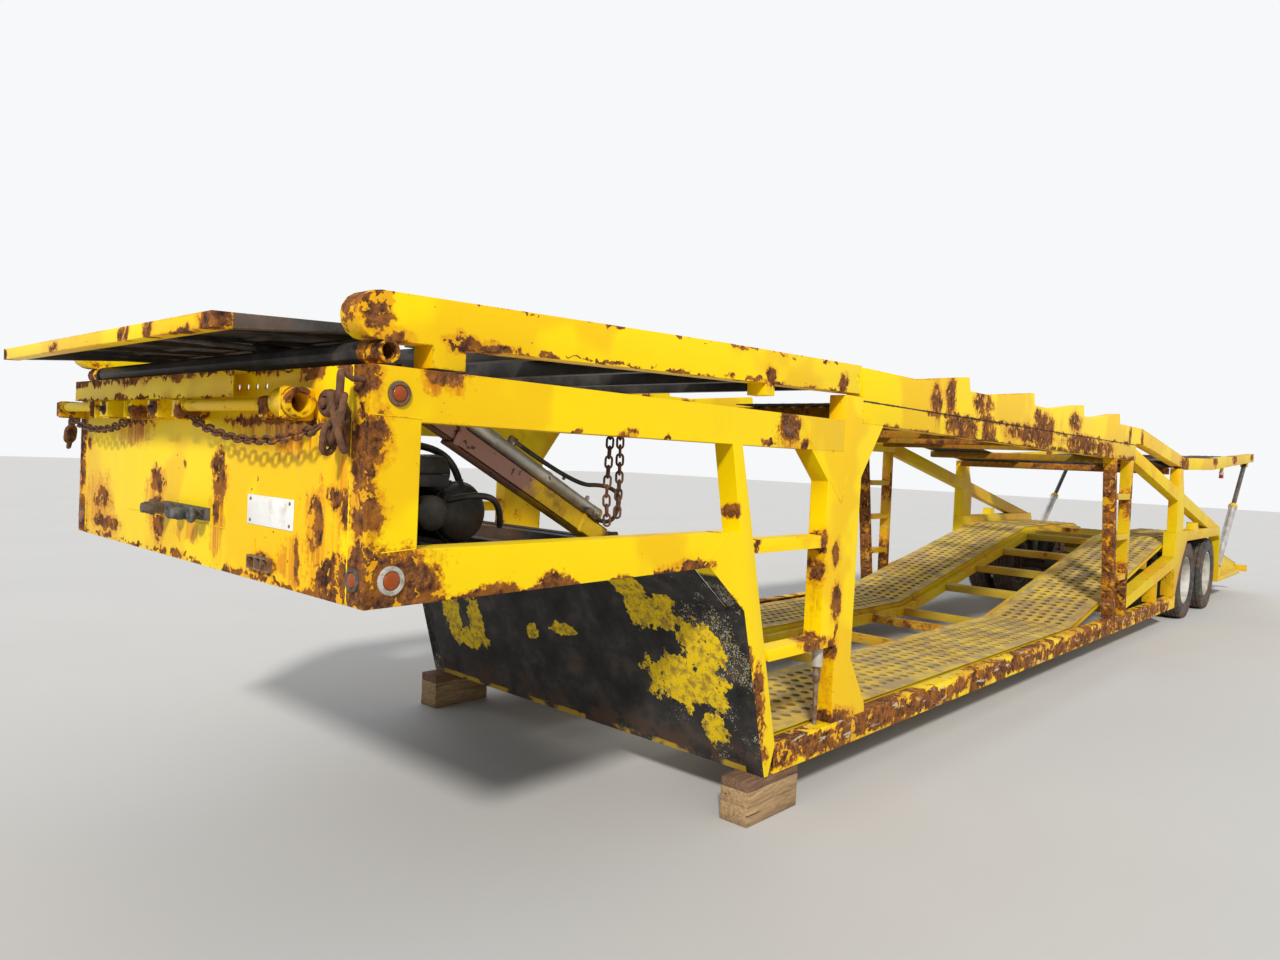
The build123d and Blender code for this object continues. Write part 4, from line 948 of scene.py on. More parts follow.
def addPerforated(shape, line, yFrom, yTo, look):
    shape.setdefault("soil", {})
    length = sum(math.dist(a, b) for a, b in zip(line, line[1:]))
    inner = yTo - yFrom - 2 * look["border"]
    cells, across = round(length / look["pitchAlong"]), round(inner / look["pitchAcross"])
    pitchU, pitchV = length / cells, inner / across
    sixth = 1 / 6
    corners = [(-0.5, -0.5), (-sixth, -0.5), (sixth, -0.5), (0.5, -0.5), (0.5, -sixth), (0.5, sixth),
               (0.5, 0.5), (sixth, 0.5), (-sixth, 0.5), (-0.5, 0.5), (-0.5, sixth), (-0.5, -sixth)]
    angles = [math.tau * i / holeSides + math.pi * 1.25 for i in range(holeSides)]
    rounds = [(math.cos(angle), math.sin(angle)) for angle in angles]
    faces = []
    for start in range(0, 4 * holeSides, holeSides):
        for i in range(holeSides):
            after = start + (i + 1) % holeSides
            faces.append((start + i, after, after + holeSides, start + holeSides + i))

    def place(u, v, lift):
        back, z, run, rise = frameAlong(line, min(max(u, 0), length))
        return Vector((noseX - back + rise * lift, v, z + run * lift))

    # each cell: its square rim, the lip's foot and top, the collar's end and the rim underneath
    circles = ((look["lipRadius"], 0), (look["holeRadius"], look["lipHeight"]),
               (look["holeRadius"] * 0.94, -look["collar"]))
    for i in range(cells):
        for j in range(across):
            u = (i + 0.5) * pitchU
            v = yFrom + look["border"] + (j + 0.5) * pitchV
            rings = [[(u + a * pitchU, v + b * pitchV, 0) for a, b in corners]]
            rings += [[(u + a * radius, v + b * radius, lift) for a, b in rounds]
                      for radius, lift in circles]
            rings.append([(u + a * pitchU, v + b * pitchV, -look["plate"]) for a, b in corners])
            start = len(shape["points"])
            addMesh(shape, [place(*point) for ring in rings for point in ring], faces)
            # painted shade: the soil values darken the hole walls, part way at the lip's top and to black
            # at the collar's end and under the plate, standing for the shade inside the holes
            for first, last, soil in ((2, 3, look["soil"]), (3, 5, 1.0)):
                shape["soil"].update({start + index: soil
                                      for index in range(first * holeSides, last * holeSides)})
    for low, high in ((yFrom, yFrom + look["border"]), (yTo - look["border"], yTo)):
        addSide(shape, line + [(back, z - look["plate"]) for back, z in line[::-1]], low, high)


# the four floors from the side, as (station, height)
runwayLine = [(2.11, 0.33), (7.0, 0.33), (10.44, 0.985), (12.4, 0.985), (13.55, 0.69), (15.08, 0.431)]
middleLine = [(2.87, 1.99), (8.4, 1.975), (10.2, 1.8)]
frontLine = [(0.64, 2.054), (2.7, 2.111)]
rearLine = [(10.56, 1.886), (12.07, 1.921), (15.189, 2.08)]
runwayYs, deckYs = (0.44, 1.16), (0.45, 1.15)


# the floor's two strips lie between the same distances left and right of the middle
def buildFloor(line, ys, look):
    shape = newShape()
    for side in (1, -1):
        addPerforated(shape, line, *sorted(side * y for y in ys), look)
    return shape


def buildRunwayEdges():
    edges = newShape()
    edge = runwayLook["edge"]
    outline = [(back, z + runwayLook["edgeRise"]) for back, z in runwayLine]
    outline += [(back, z - runwayLook["edgeDepth"]) for back, z in runwayLine[::-1]]
    for side in (1, -1):
        low, high = sorted(side * y for y in runwayYs)
        for y in (low, high - edge):
            addSide(edges, outline, y, y + edge)
    return edges


runwayPaint = wornFinish("runwayPaint", (0.66, 0.45, 0.06), (0.36, 0.26, 0.115), 0.38, 0.62, 7.0, 0.15, 0.2,
                         0.8, depth=0.002, shadedHoles=True)
underPaint = wornFinish("underPaint", (0.05, 0.036, 0.024), (0.02, 0.016, 0.014), 0.4, 0.6, 5.0, 0.22, 0.3,
                        0.8, shadedHoles=True)
finishPiece(buildFloor(runwayLine, runwayYs, runwayLook), "lowerRunways", runwayPaint,
            replaced=["lower_runways"])
# the runway edges take the lower paint, whose darker yellow is partly painted shade
finishPiece(buildRunwayEdges(), "runwayEdges", paintLowerDirtAndShade, replaced=["lower_runways"])
for name, line, body, solid in (("middleFloor", middleLine, "trailer", "middle_deck_floor"),
                                ("frontFloor", frontLine, "front_deck", "front_deck_floor"),
                                ("rearFloor", rearLine, "rear_deck", "rear_deck_floor")):
    finishPiece(buildFloor(line, deckYs, deckLook), name, underPaint, body, "dark_steel", [solid])
print("floors made")


# a box with any three directions: centre, then full sizes along each
def addBox(shape, centre, along, across, sizes):
    along = Vector(along).normalized()
    across = Vector(across).normalized()
    up = along.cross(across).normalized()
    half = [size / 2 for size in sizes]
    base = [centre + along * a * half[0] + across * b * half[1] - up * half[2]
            for a, b in ((-1, -1), (1, -1), (1, 1), (-1, 1))]
    addSlab(shape, base, up * sizes[2])


# a plate with a round hole: outline points and a centre, extruded along its normal
def addHoledPlate(shape, centre, first, second, half, holeRadius, thick, sides=24):
    normal = first.cross(second).normalized()
    rings = []
    for lift, inner in ((0, True), (0, False), (thick, False), (thick, True)):
        ring = []
        for i in range(sides):
            angle = math.tau * (i + 0.5) / sides
            a, b = math.cos(angle), math.sin(angle)
            reach = holeRadius if inner else min(half[0] / max(abs(a), 1e-6), half[1] / max(abs(b), 1e-6))
            ring.append(centre + first * a * reach + second * b * reach + normal * lift)
        rings.append(ring)
    addRings(shape, rings, loop=True)


# one chain link: a bent round bar, its length along one direction and lying in the plane of two
def addLink(shape, centre, along, across, length, width, thick, sides=8):
    path = []
    straight = length / 2 - width / 2
    for end in (1, -1):
        for i in range(7):
            angle = math.pi * (i / 6 - 0.5)
            path.append(centre + along * end * (straight + math.cos(angle) * (width - thick) / 2)
                        + across * end * math.sin(angle) * (width - thick) / 2)
    addSweep(shape, path, thick / 2, sides, loop=True)


def pointAlong(points, distance):
    for first, second in zip(points, points[1:]):
        run = (second - first).length
        if distance <= run or second is points[-1]:
            return first.lerp(second, distance / run), (second - first).normalized()
        distance -= run


# links set corner to corner along a path, each turned a quarter against the last
def addChain(shape, points, length, thick):
    total = sum((b - a).length for a, b in zip(points, points[1:]))
    count = max(1, round(total / (length - 2.15 * thick)))
    for i in range(count + 1):
        place, along = pointAlong(points, total * i / count)
        side = along.cross(Vector((1, 0.15, 0.1))).normalized()
        angle = math.radians(45 + 90 * (i % 2)) + rng.uniform(-chainLook["jitter"], chainLook["jitter"])
        across = Matrix.Rotation(angle, 3, along) @ side
        addLink(shape, place, along, across, length, length * chainLook["squeeze"], thick)


def sagPoints(start, end, drop, steps=16):
    return [start.lerp(end, i / steps) - Vector((0, 0, 4 * drop * i / steps * (1 - i / steps)))
            for i in range(steps + 1)]


chainLook = {
    "reach": 0.07,
    "thinLength": 0.062,
    "thinWire": 0.0095,
    "heavyWire": 0.02,
    "hookWire": 0.0085,
    "strandLength": 0.056,
    "strandY": 1.15,
    # stations of each strand's top, middle and end, and heights of its middle and end
    "strands": ((1.12, 1.112, 1.12, 1.5, 1.405), (1.175, 1.18, 1.176, 1.55, 1.435)),
    "squeeze": 0.62,
    "jitter": 0.12,
}

# heavy links bunched on the nose: y, height, tilt and twist in degrees, length, width
heavyLinks = [(1.248, 1.812, 4, 25, 0.104, 0.068), (1.226, 1.752, -24, 70, 0.115, 0.072),
              (1.262, 1.738, 14, 30, 0.125, 0.076), (1.2, 1.7, 36, 20, 0.125, 0.08),
              (1.256, 1.682, -28, 40, 0.124, 0.076), (1.222, 1.728, 50, 60, 0.095, 0.066),
              (1.196, 1.668, 10, 70, 0.105, 0.066), (-1.226, 1.668, -12, 25, 0.105, 0.066),
              (-1.2, 1.642, 18, 65, 0.095, 0.062), (-1.246, 1.612, 38, 15, 0.09, 0.06)]


# chains that hang on the nose and inside the left side frame
def buildChains():
    shape = newShape()
    out = -chainLook["reach"]
    thin = (chainLook["thinLength"], chainLook["thinWire"])
    addChain(shape, sagPoints(at(out, 0.235, 1.715), at(out, 1.12, 1.695), 0.052), *thin)
    addChain(shape, sagPoints(at(out, -1.165, 1.712), at(out, -0.415, 1.716), 0.046), *thin)
    for i, (y, z, tilt, twist, length, width) in enumerate(heavyLinks):
        tilt, twist = math.radians(tilt), math.radians(twist)
        along = Vector((0, math.sin(tilt), math.cos(tilt)))
        flat = Vector((0, math.cos(tilt), -math.sin(tilt)))
        across = flat * math.cos(twist) + Vector((math.sin(twist), 0, 0))
        addLink(shape, at(out + 0.012 * (i % 2), y, z), along, across.normalized(), length, width,
                chainLook["heavyWire"], 10)
    hook = [(-0.002, 1.262, 1.84), (-0.04, 1.262, 1.838), (-0.052, 1.254, 1.848), (-0.054, 1.24, 1.858),
            (-0.052, 1.224, 1.856)]
    addSweep(shape, [at(*point) for point in hook], chainLook["hookWire"], 10)
    y = chainLook["strandY"]
    for back, middleBack, endBack, middleZ, endZ in chainLook["strands"]:
        strand = [at(back, y, 1.742), at(middleBack, y, middleZ), at(endBack, y, endZ)]
        addChain(shape, strand, chainLook["strandLength"], chainLook["thinWire"])
    for strand in chainLook["strands"]:
        addRod(shape, at(strand[0], y + 0.045, 1.76), at(strand[0], y - 0.016, 1.76), 0.0075, 12, 0.0015)
    return shape


tieLook = {
    "front": -0.108,
    "low": 1.716,
    "high": 1.793,
    "plate": 0.009,
    # y and width of each bracket, and y of those that stand open and hold a rusty swivel on a pin
    "brackets": ((-1.25, 0.058), (-0.76, 0.068), (-0.61, 0.105), (-0.33, 0.086), (-0.06, 0.105),
                 (0.16, 0.066), (0.85, 0.046)),
    "open": (-0.76, -0.33),
    "bars": ((-1.22, -0.795), (0.195, 0.825)),
    "barRadius": 0.0205,
    "barBack": -0.08,
    "barZ": 1.766,
}


# brackets welded to the nose, with tie bars between them
def buildTieBars():
    shape, worn = newShape(), newShape()
    front, base, top, plate = tieLook["front"], tieLook["low"], tieLook["high"], tieLook["plate"]
    barBack, barZ = tieLook["barBack"], tieLook["barZ"]
    for y, width in tieLook["brackets"]:
        low, high = y - width / 2, y + width / 2
        cheekLine = [(0, base), (front, base + 0.006), (front, top - 0.007), (front + 0.018, top), (0, top)]
        for cheek in (low, high - plate):
            addSide(shape, cheekLine, cheek, cheek + plate)
        addBlock(shape, (front + 0.008, 0), (low + 0.008, high - 0.008), (base, base + plate))
        if y in tieLook["open"]:
            addLathe(worn, at(-0.074, low + 0.012, 1.753), (0, 1, 0),
                     pairs(0, 14, 4, 24, 14, 26, 30, 19, 44, 24, 50, 14), 20)
            addRod(worn, at(barBack, low - 0.008, 1.753), at(barBack, high + 0.008, 1.753), 0.0085, 12)
            addLathe(worn, at(-0.04, y + 0.012, 1.748), (1, 0, 0),
                     pairs(0, 10, 30, 22, 52, 18, 58, 8), 16)
        else:
            addBlock(shape, (front, front + plate), (low + 0.008, high - 0.008),
                     (base + 0.008, top - 0.009))
        if width > 0.1:
            addBolt(worn, at(front, y, 1.755), (1, 0, 0), 0.0135)
            addLathe(worn, at(front + 0.001, y, 1.755), (1, 0, 0), pairs(0, 26.5, 3, 25.5), 24)
        if width > 0.06:
            addRod(shape, at(barBack, low + plate, 1.772), at(barBack, high - plate, 1.772), 0.0155, 16)
        for side in (low, high):
            addWeld(shape, at(-0.002, side, base + 0.002), at(-0.002, side, top - 0.003), 0.004)
    for yFrom, yTo in tieLook["bars"]:
        addRod(shape, at(barBack, yFrom, barZ), at(barBack, yTo, barZ), tieLook["barRadius"], 24)
        for y in (yFrom + 0.012, yTo - 0.012):
            collar = tieLook["barRadius"] + 0.005
            addLathe(shape, at(barBack, y - 0.006, barZ), (0, 1, 0), [(0, collar), (0.012, collar)], 24)
    # the hollow tube's end: a thick bushing with a lip, in a cut plate
    profile = pairs(0, 30, 0, 40, 12, 47.5, 108, 47.5, 112, 47.8, 130, 47.8, 135, 45, 135, 32, 128, 30)
    addLathe(shape, at(-0.06, 0.875, 1.772), (0, 1, 0), profile, 36, loop=True)
    addHoledPlate(shape, at(-0.055, 0.975, 1.769), Vector((1, 0, 0)), Vector((0, 0, 1)), (0.054, 0.051),
                  0.047, plate, 32)
    socket = pairs(0, 20, 0, 41, 10, 43, 26, 40, 32, 34, 30, 21)
    addLathe(worn, at(-0.002, 1.09, 1.772), (1, 0, 0), socket, 28, loop=True)
    addLathe(worn, at(-0.01, 1.09, 1.772), (1, 0, 0), pairs(0, 15, 30, 16, 34, 10), 20)
    return shape, worn


couplingLook = {
    "z": 1.375,
    "bolts": (-0.165, -0.02, 0.2),
    # y and tilt of each air coupling, and y of the electric sockets between them
    "air": ((-0.18, 0.5), (0.0, 0.3), (0.2, 0.6)),
    "electric": (-0.14, 0.16),
}


# a bracket with air couplings and electric sockets that look forwards
def buildCouplings():
    shape = newShape()
    addBlock(shape, (-0.019, 0), (-0.188, 0.228), (1.352, 1.398))
    z = couplingLook["z"]
    for y in couplingLook["bolts"]:
        addBolt(shape, at(-0.018, y + 0.012, z + 0.014), (1, 0, 0), 0.006)
    for y, turn in couplingLook["air"]:
        centre = at(-0.045, y, z)
        addLathe(shape, at(-0.019, y, z), (1, 0, 0), pairs(0, 14, 28, 14, 30, 20), 16)
        addLathe(shape, centre, (1, 0, 0),
                 pairs(0, 18, 3, 29, 10, 32.5, 19, 31, 23, 23, 23, 15, 17, 12, 17, 2), 28)
        for way in (1, -1):
            lug = centre + Vector((0.012, way * 0.022, way * 0.018 * turn))
            addBox(shape, lug, (0, 1, turn), (1, 0, 0), (0.018, 0.013, 0.012))
    for y in couplingLook["electric"]:
        addLathe(shape, at(-0.018, y, z), (1, 0, 0),
                 pairs(0, 22.5, 12, 23.5, 50, 21.5, 55, 23.5, 72, 23.5, 78, 20, 91, 19.5), 24)
        addBox(shape, at(-0.082, y, 1.3945), (1, 0, 0), (0, 1, 0), (0.034, 0.018, 0.006))
    return shape


lampLook = {
    # lamps on both sides: station, height, radius and whether the ring is pale
    "sides": ((0.09, 1.806, 0.038, False), (2.13, 1.808, 0.026, False), (0.085, 1.262, 0.044, True)),
    "noseYs": (-1.235, 1.235),
    "noseZ": 1.262,
    "noseRadius": 0.036,
    "tailBack": 15.1762,
    "tailYs": (0.9, 1.02, 1.14),
    "tailZ": 0.36,
    "tailRadius": 0.0395,
    "lensShare": 0.63,
    "dome": 0.0072,
    "amber": ((0.42, 0.074, 0.003), (0.19, 0.032, 0.002)),
    "red": ((0.5, 0.022, 0.01), (0.24, 0.01, 0.006)),
    "veil": (0.35, 0.19, 0.09),
}


# a lamp is a ring screwed on a face, with a domed lens that stands out from it
def addLamp(lenses, rings, place, out, radius):
    out = Vector(out)
    addLathe(rings, place - out * 0.001, out, [(0, radius * 0.61), (0, radius), (0.005, radius),
                                               (0.009, radius * 0.95), (0.01, radius * 0.7),
                                               (0.004, radius * 0.61)], 40, loop=True)
    wide = radius * lampLook["lensShare"]
    angles = [math.pi / 2 * i / 8 for i in range(9)]
    dome = [(0.0005, wide)]
    dome += [(0.005 + lampLook["dome"] * math.sin(angle), wide * math.cos(angle)) for angle in angles]
    addLathe(lenses, place, out, dome, 36)
    first, second = sidesOf(out)
    for i in range(3):
        angle = math.tau * i / 3 + 0.4
        spot = place + (first * math.cos(angle) + second * math.sin(angle)) * radius * 0.84
        addLathe(rings, spot + out * 0.006, out, pairs(0, 2.8, 4.5, 2.4), 10)


def buildLamps():
    lenses, dark, pale = newShape(), newShape(), newShape()
    for back, z, radius, isPale in lampLook["sides"]:
        for side in (1, -1):
            addLamp(lenses, pale if isPale else dark, at(back, side * sideY, z), (0, side, 0), radius)
    for y in lampLook["noseYs"]:
        addLamp(lenses, dark, at(0, y, lampLook["noseZ"]), (1, 0, 0), lampLook["noseRadius"])
    for y in lampLook["tailYs"]:
        for side in (1, -1):
            place = at(lampLook["tailBack"], side * y, lampLook["tailZ"])
            addLamp(lenses, dark, place, (-1, 0, 0), lampLook["tailRadius"])
    return lenses, dark, pale


# the marker lamp that hangs under the rear deck's left rail: a pale case over a ribbed red lens
markerLook = {
    "back": 12.98,
    "y": 1.24,
    "long": 0.066,
    "wide": 0.046,
    "rib": 0.001,
    "ribs": 7,
    "heights": (1.7225, 1.768, 1.817),
}


def buildMarker():
    case, lens = newShape(), newShape()
    low, middle, high = markerLook["heights"]
    count = markerLook["ribs"]
    rib = (middle - low) / count
    layers = [(case, middle, high, 0)]
    layers += [(lens, low + rib * i, low + rib * (i + 1), i % 2 * markerLook["rib"]) for i in range(count)]
    for shape, bottom, top, inset in layers:
        long, wide = markerLook["long"] / 2 - inset, markerLook["wide"] / 2 - inset
        addBlock(shape, (markerLook["back"] - long, markerLook["back"] + long),
                 (markerLook["y"] - wide, markerLook["y"] + wide), (bottom, top))
    return case, lens


weldLook = {
    "seamRadius": 0.0022,
    "cornerRadius": 0.0035,
    # seams of both side frames, between two places (station, height)
    "seams": (((0.004, 1.742), (0.168, 1.738)), ((0.166, 1.352), (0.05, 1.345)), ((2.3, 1.8), (2.65, 1.47)),
              ((2.65, 1.47), (2.7, 1.6)), ((1.56, 1.22), (1.72, 1.345)), ((2.32, 1.728), (2.32, 1.88))),
}


def buildNoseTrim():
    welds = newShape()
    for side in (1, -1):
        corner = side * 1.1955
        addWeld(welds, at(0.002, corner, 1.19), at(0.002, corner, 1.88), weldLook["cornerRadius"])
        for line in weldLook["seams"]:
            addWeld(welds, *[at(back, side * sideY, z) for back, z in line], weldLook["seamRadius"])
    addWeld(welds, at(-0.001, -0.62, 1.336), at(-0.001, 0.36, 1.336), 0.002)
    addWeld(welds, at(-0.001, 0.6, 1.19), at(-0.001, 0.6, 1.325), 0.002)
    return welds


plateLook = {
    "ys": (0.536, 0.866),
    "zs": (1.37, 1.47),
    "screwYs": (0.56, 0.84),
    "screwZs": (1.384, 1.456),
    "boxYs": (0.57, 0.73),
    "boxZs": (1.222, 1.268),
    "boxDepth": 0.016,
    "dividers": (0.625, 0.672),
    "enamel": (0.84, 0.84, 0.82),
    "soil": (0.46, 0.41, 0.31),
    "chips": (0.12, 0.07, 0.04),
}


# the blank plate with its screws, and below it a low box for papers, open in front
def buildPlate():
    plate, trim = newShape(), newShape()
    addBlock(plate, (-0.0025, -0.001), plateLook["ys"], plateLook["zs"])
    for y in plateLook["screwYs"]:
        for z in plateLook["screwZs"]:
            addLathe(trim, at(-0.0024, y, z), (1, 0, 0), pairs(0, 6, 2, 5.5, 3, 3), 12)
    (left, right), (low, high), wall = plateLook["boxYs"], plateLook["boxZs"], 0.006
    walls = [(left, right, high - wall, high), (left, right, low, low + wall),
             (left, left + wall, low + wall, high - wall), (right - wall, right, low + wall, high - wall)]
    walls += [(y, y + 0.004, low + wall, high - wall) for y in plateLook["dividers"]]
    for y0, y1, z0, z1 in walls:
        addBlock(trim, (-plateLook["boxDepth"], 0.0), (y0, y1), (z0, z1))
    return plate, trim


# places on a slanting leg: distance from the foot, distance above its line, and y
def legPlacer(foot, eye):
    low, high = at(foot[0], 0, foot[1]), at(eye[0], 0, eye[1])
    along = (high - low).normalized()
    above = Vector((-along.z, 0, along.x))

    def place(distance, lift, y):
        return low + along * distance + above * lift + Vector((0, y, 0))
    return place, along, above, (high - low).length


legLook = {
    "foot": (1.27, 1.305),
    "eye": (0.15, 1.89),
    "y": 0.98,
    "strut": (0.075, 0.006),
    "innerStrut": (0.053, 0.006),
    "barrelLift": 0.074,
    "rodRadius": 0.0152,
    "collars": (0.16, 0.845),
}
rearLook = {
    "foot": (13.02, 0.47),
    "eye": (14.78, 1.945),
    "y": 1.235,
    "rodRadius": 0.0295,
}
legPlace, legAlong, legAbove, legLength = legPlacer(legLook["foot"], legLook["eye"])
rearPlace, rearAlong, rearAbove, rearLength = legPlacer(rearLook["foot"], rearLook["eye"])
acrossWay = Vector((0, 1, 0))


# a square tube along a leg, as four walls
def addTube(shape, place, fromS, toS, y, outer, thick):
    half = outer / 2
    inner = half - thick
    for lowN, highN, lowY, highY in ((inner, half, -half, half), (-half, -inner, -half, half),
                                     (-half, half, -half, -inner), (-half, half, inner, half)):
        ring = [place(fromS, n, y + away)
                for n, away in ((lowN, lowY), (highN, lowY), (highN, highY), (lowN, highY))]
        addSlab(shape, ring, place(toS, lowN, y + lowY) - ring[0])


def buildLegs():
    strut, barrel, rod, inner = newShape(), newShape(), newShape(), newShape()
    lift = legLook["barrelLift"]
    profile = pairs(0, 17, 0, 26.5, 4, 29.2, 30, 29.2, 34, 27.8, 300, 27.8, 303, 29.2, 318, 29.2, 321, 27.8,
                    600, 27.8, 603, 29.2, 618, 29.2, 621, 27.8, 700, 27.8, 704, 29.5, 732, 29.5, 738, 26,
                    738, 17.5)
    for side in (1, -1):
        y = side * legLook["y"]
        # outer strut, its foot eye and the plates that carry the cylinder
        addTube(strut, legPlace, 0.03, 0.868, y, *legLook["strut"])
        foot = pairs(0, 14.8, 0, 38, 4, 41.5, 70, 41.5, 74, 38, 74, 14.8)
        addLathe(strut, legPlace(0, 0, y - 0.037), acrossWay, foot, 36, loop=True)
        for cheek in (-0.0235, 0.0155):
            outline = ((0.072, 0.034), (0.128, 0.034), (0.124, 0.092), (0.108, 0.098), (0.086, 0.098),
                       (0.076, 0.09))
            addSlab(strut, [legPlace(s, n, y + cheek) for s, n in outline], Vector((0, 0.008, 0)))
        for s in legLook["collars"]:
            addTube(strut, legPlace, s, s + 0.022, y, 0.0755, 0.002)
        addWeld(strut, legPlace(0.07, 0.0375, y - 0.0235), legPlace(0.13, 0.0375, y - 0.0235), 0.003)
        # barrel with caps, two clamps, ports and its pin
        addLathe(barrel, legPlace(0.091, lift, y), legAlong, profile, 36, loop=True)
        addRod(barrel, legPlace(0.108, lift, y - 0.034), legPlace(0.108, lift, y + 0.034), 0.0095, 20,
               0.002)
        for s in (0.165, 0.615):
            addLathe(barrel, legPlace(s, lift + 0.025, y), legAbove,
                     pairs(0, 10, 12, 10, 13, 7.5, 20, 7.5), 14)
        # sliding strut and rod, with the top eye
        addTube(inner, legPlace, 0.462, legLength - 0.022, y, *legLook["innerStrut"])
        addLathe(inner, legPlace(legLength, 0, y - 0.0235), acrossWay,
                 pairs(0, 25.5, 3, 25.8, 44, 25.8, 47, 25.5), 28)
        lug = ((-0.139, 0.024), (-0.101, 0.024), (-0.104, 0.094), (-0.136, 0.094))
        addSlab(inner, [legPlace(legLength + s, n, y - 0.0175) for s, n in lug], Vector((0, 0.035, 0)))
        addRod(rod, legPlace(0.44, lift, y), legPlace(legLength - 0.102, lift, y), legLook["rodRadius"], 24,
               0.002)
    return strut, barrel, rod, inner


# a smooth line near a few points, read from a spline whose control points they are
def smoothLine(points, steps=12):
    curve = bpy.data.curves.new("route", "CURVE")
    curve.dimensions = "3D"
    curve.resolution_u = steps
    spline = curve.splines.new("NURBS")
    spline.points.add(len(points) - 1)
    for knot, point in zip(spline.points, points):
        knot.co = (*point, 1)
    spline.order_u = 3
    spline.use_endpoint_u = True
    route = bpy.data.objects.new("route", curve)
    mesh = bpy.data.meshes.new_from_object(route)
    line = [vertex.co.copy() for vertex in mesh.vertices]
    bpy.data.objects.remove(route)
    bpy.data.curves.remove(curve)
    bpy.data.meshes.remove(mesh)
    return line


hoseLook = {
    "radius": 0.0088,
    # along the leg, above its line and outwards
    "route": ((0.6, 0.118, 0.0), (0.26, 0.118, 0.008), (0.13, 0.193, 0.034), (0.025, 0.193, 0.042),
              (0.025, 0.043, 0.046), (0.15, 0.043, 0.046)),
    "clamps": (0.32, 0.52),
}


def buildHoses():
    rubber, metal = newShape(), newShape()
    legY = legLook["y"]
    for side in (1, -1):
        points = [legPlace(s, n, side * (legY + out)) for s, n, out in hoseLook["route"]]
        addSweep(rubber, smoothLine(points), hoseLook["radius"], 14)
        start, end = points[0], points[-1]
        for place, way in ((start, points[1] - start), (end, points[-2] - end)):
            addLathe(metal, place - way.normalized() * 0.004, way,
                     pairs(0, 8, 2, 8.9, 26, 8.9, 29, 8.4), 16)
        addBox(metal, legPlace(0.6175, 0.1165, side * legY), legAlong, acrossWay, (0.034, 0.0175, 0.026))
        addBox(metal, legPlace(0.165, 0.0525, side * (legY + 0.044)), legAlong, acrossWay,
               (0.029, 0.027, 0.026))
        for s in hoseLook["clamps"]:
            out = 0.0065 * (0.6 - s) / 0.34
            addLathe(metal, legPlace(s, 0.1185, side * (legY + out)), legAlong,
                     pairs(0, 9.2, 6, 9.2), 16)
    return rubber, metal


airLook = {
    "tankBacks": (0.33, 0.64),
    "tankY": 0.28,
    "tankZ": 1.42,
    "straps": (0.365, 0.835),
    "ports": (0.3, 0.6, 0.86),
    "fins": 7,
    "levers": 5,
    # pipes: their points as (station, y, height), and their radius
    "pipes": ((((0.47, 0.62, 1.6), (0.47, 0.62, 1.655), (0.62, 0.66, 1.665), (0.7, 0.74, 1.6),
                (0.7, 0.78, 1.5)), 0.014),
              (((0.36, 0.8, 1.6), (0.3, 0.86, 1.64), (0.24, 0.96, 1.62), (0.2, 1.02, 1.52)), 0.012),
              (((0.52, 0.94, 1.47), (0.6, 1.0, 1.5), (0.72, 1.0, 1.47), (0.78, 0.92, 1.37)), 0.012)),
}


# inside the gooseneck: two strapped air tanks with a pump on them, its pipes, and a block of valves
def buildAirGear():
    dark, trim = newShape(), newShape()
    tankZ = airLook["tankZ"]
    for back in airLook["tankBacks"]:
        profile = pairs(0, 30, 8, 78, 24, 102, 46, 110.5, 574, 110.5, 596, 102, 612, 78, 620, 30)
        addLathe(dark, at(back, airLook["tankY"], tankZ), acrossWay, profile, 40)
        for y in airLook["straps"]:
            strap = pairs(0, 110.8, 0, 114.2, 30, 114.2, 30, 110.8)
            addLathe(trim, at(back, y - 0.015, tankZ), acrossWay, strap, 40, loop=True)
            addBlock(dark, (back - 0.044, back + 0.044), (y - 0.015, y + 0.015), (1.285, 1.33))
            addBolt(trim, at(back - 0.03, y, 1.53), (0, 0, 1), 0.005)
        for y in airLook["ports"]:
            addLathe(trim, at(back, y, 1.525), (0, 0, 1), pairs(0, 12, 8, 12, 9, 7.5, 18, 7.5), 12)
    # a small pump on the tanks: ribbed head, round filter, belt guard and the pipes to them
    addBlock(dark, (0.34, 0.56), (0.56, 0.9), (1.515, 1.56))
    for i in range(airLook["fins"]):
        y = 0.585 + 0.048 * i
        addBlock(dark, (0.352, 0.548), (y - 0.008, y + 0.008), (1.56, 1.625))
    addLathe(dark, at(0.6, 0.6, 1.56), (0, 1, 0), pairs(0, 30, 6, 66, 150, 70, 160, 60, 166, 20), 32)
    addLathe(dark, at(0.24, 0.955, 1.5), (0, 1, 0), pairs(0, 20, 4, 88, 30, 92, 36, 80, 40, 30), 36)
    addLathe(dark, at(0.43, 0.93, 1.43), (0, 1, 0), pairs(0, 30, 10, 60, 60, 62, 70, 40), 28)
    for path, radius in airLook["pipes"]:
        addSweep(dark, smoothLine([at(*point) for point in path], 6), radius, 12)
    # valve block with levers and banks of fittings
    addBlock(dark, (0.332, 0.628), (-0.318, 0.098), (1.286, 1.4))
    for i in range(airLook["levers"]):
        y = -0.27 + 0.075 * i
        addBlock(dark, (0.36, 0.6), (y - 0.028, y + 0.028), (1.4, 1.47))
        addLathe(trim, at(0.42, y, 1.469), (0, 0, 1), pairs(0, 14, 14, 14, 18, 9, 40, 9), 14)
        addRod(trim, at(0.54, y, 1.469), at(0.555, y, 1.512), 0.004, 8)
    return dark, trim


tyreLook = {
    "radius": 0.4645,
    "halfWidth": 0.1265,
    "rimRadius": 0.2855,
    "grooves": (-0.066, -0.022, 0.022, 0.066),
    "grooveHalf": 0.0055,
    "grooveDepth": 0.012,
    "cuts": 72,
}
axleBacks = {"front": 11.08, "rear": 12.32}
axleZ = 0.465
outerY, innerTyreY = 1.135, 0.8


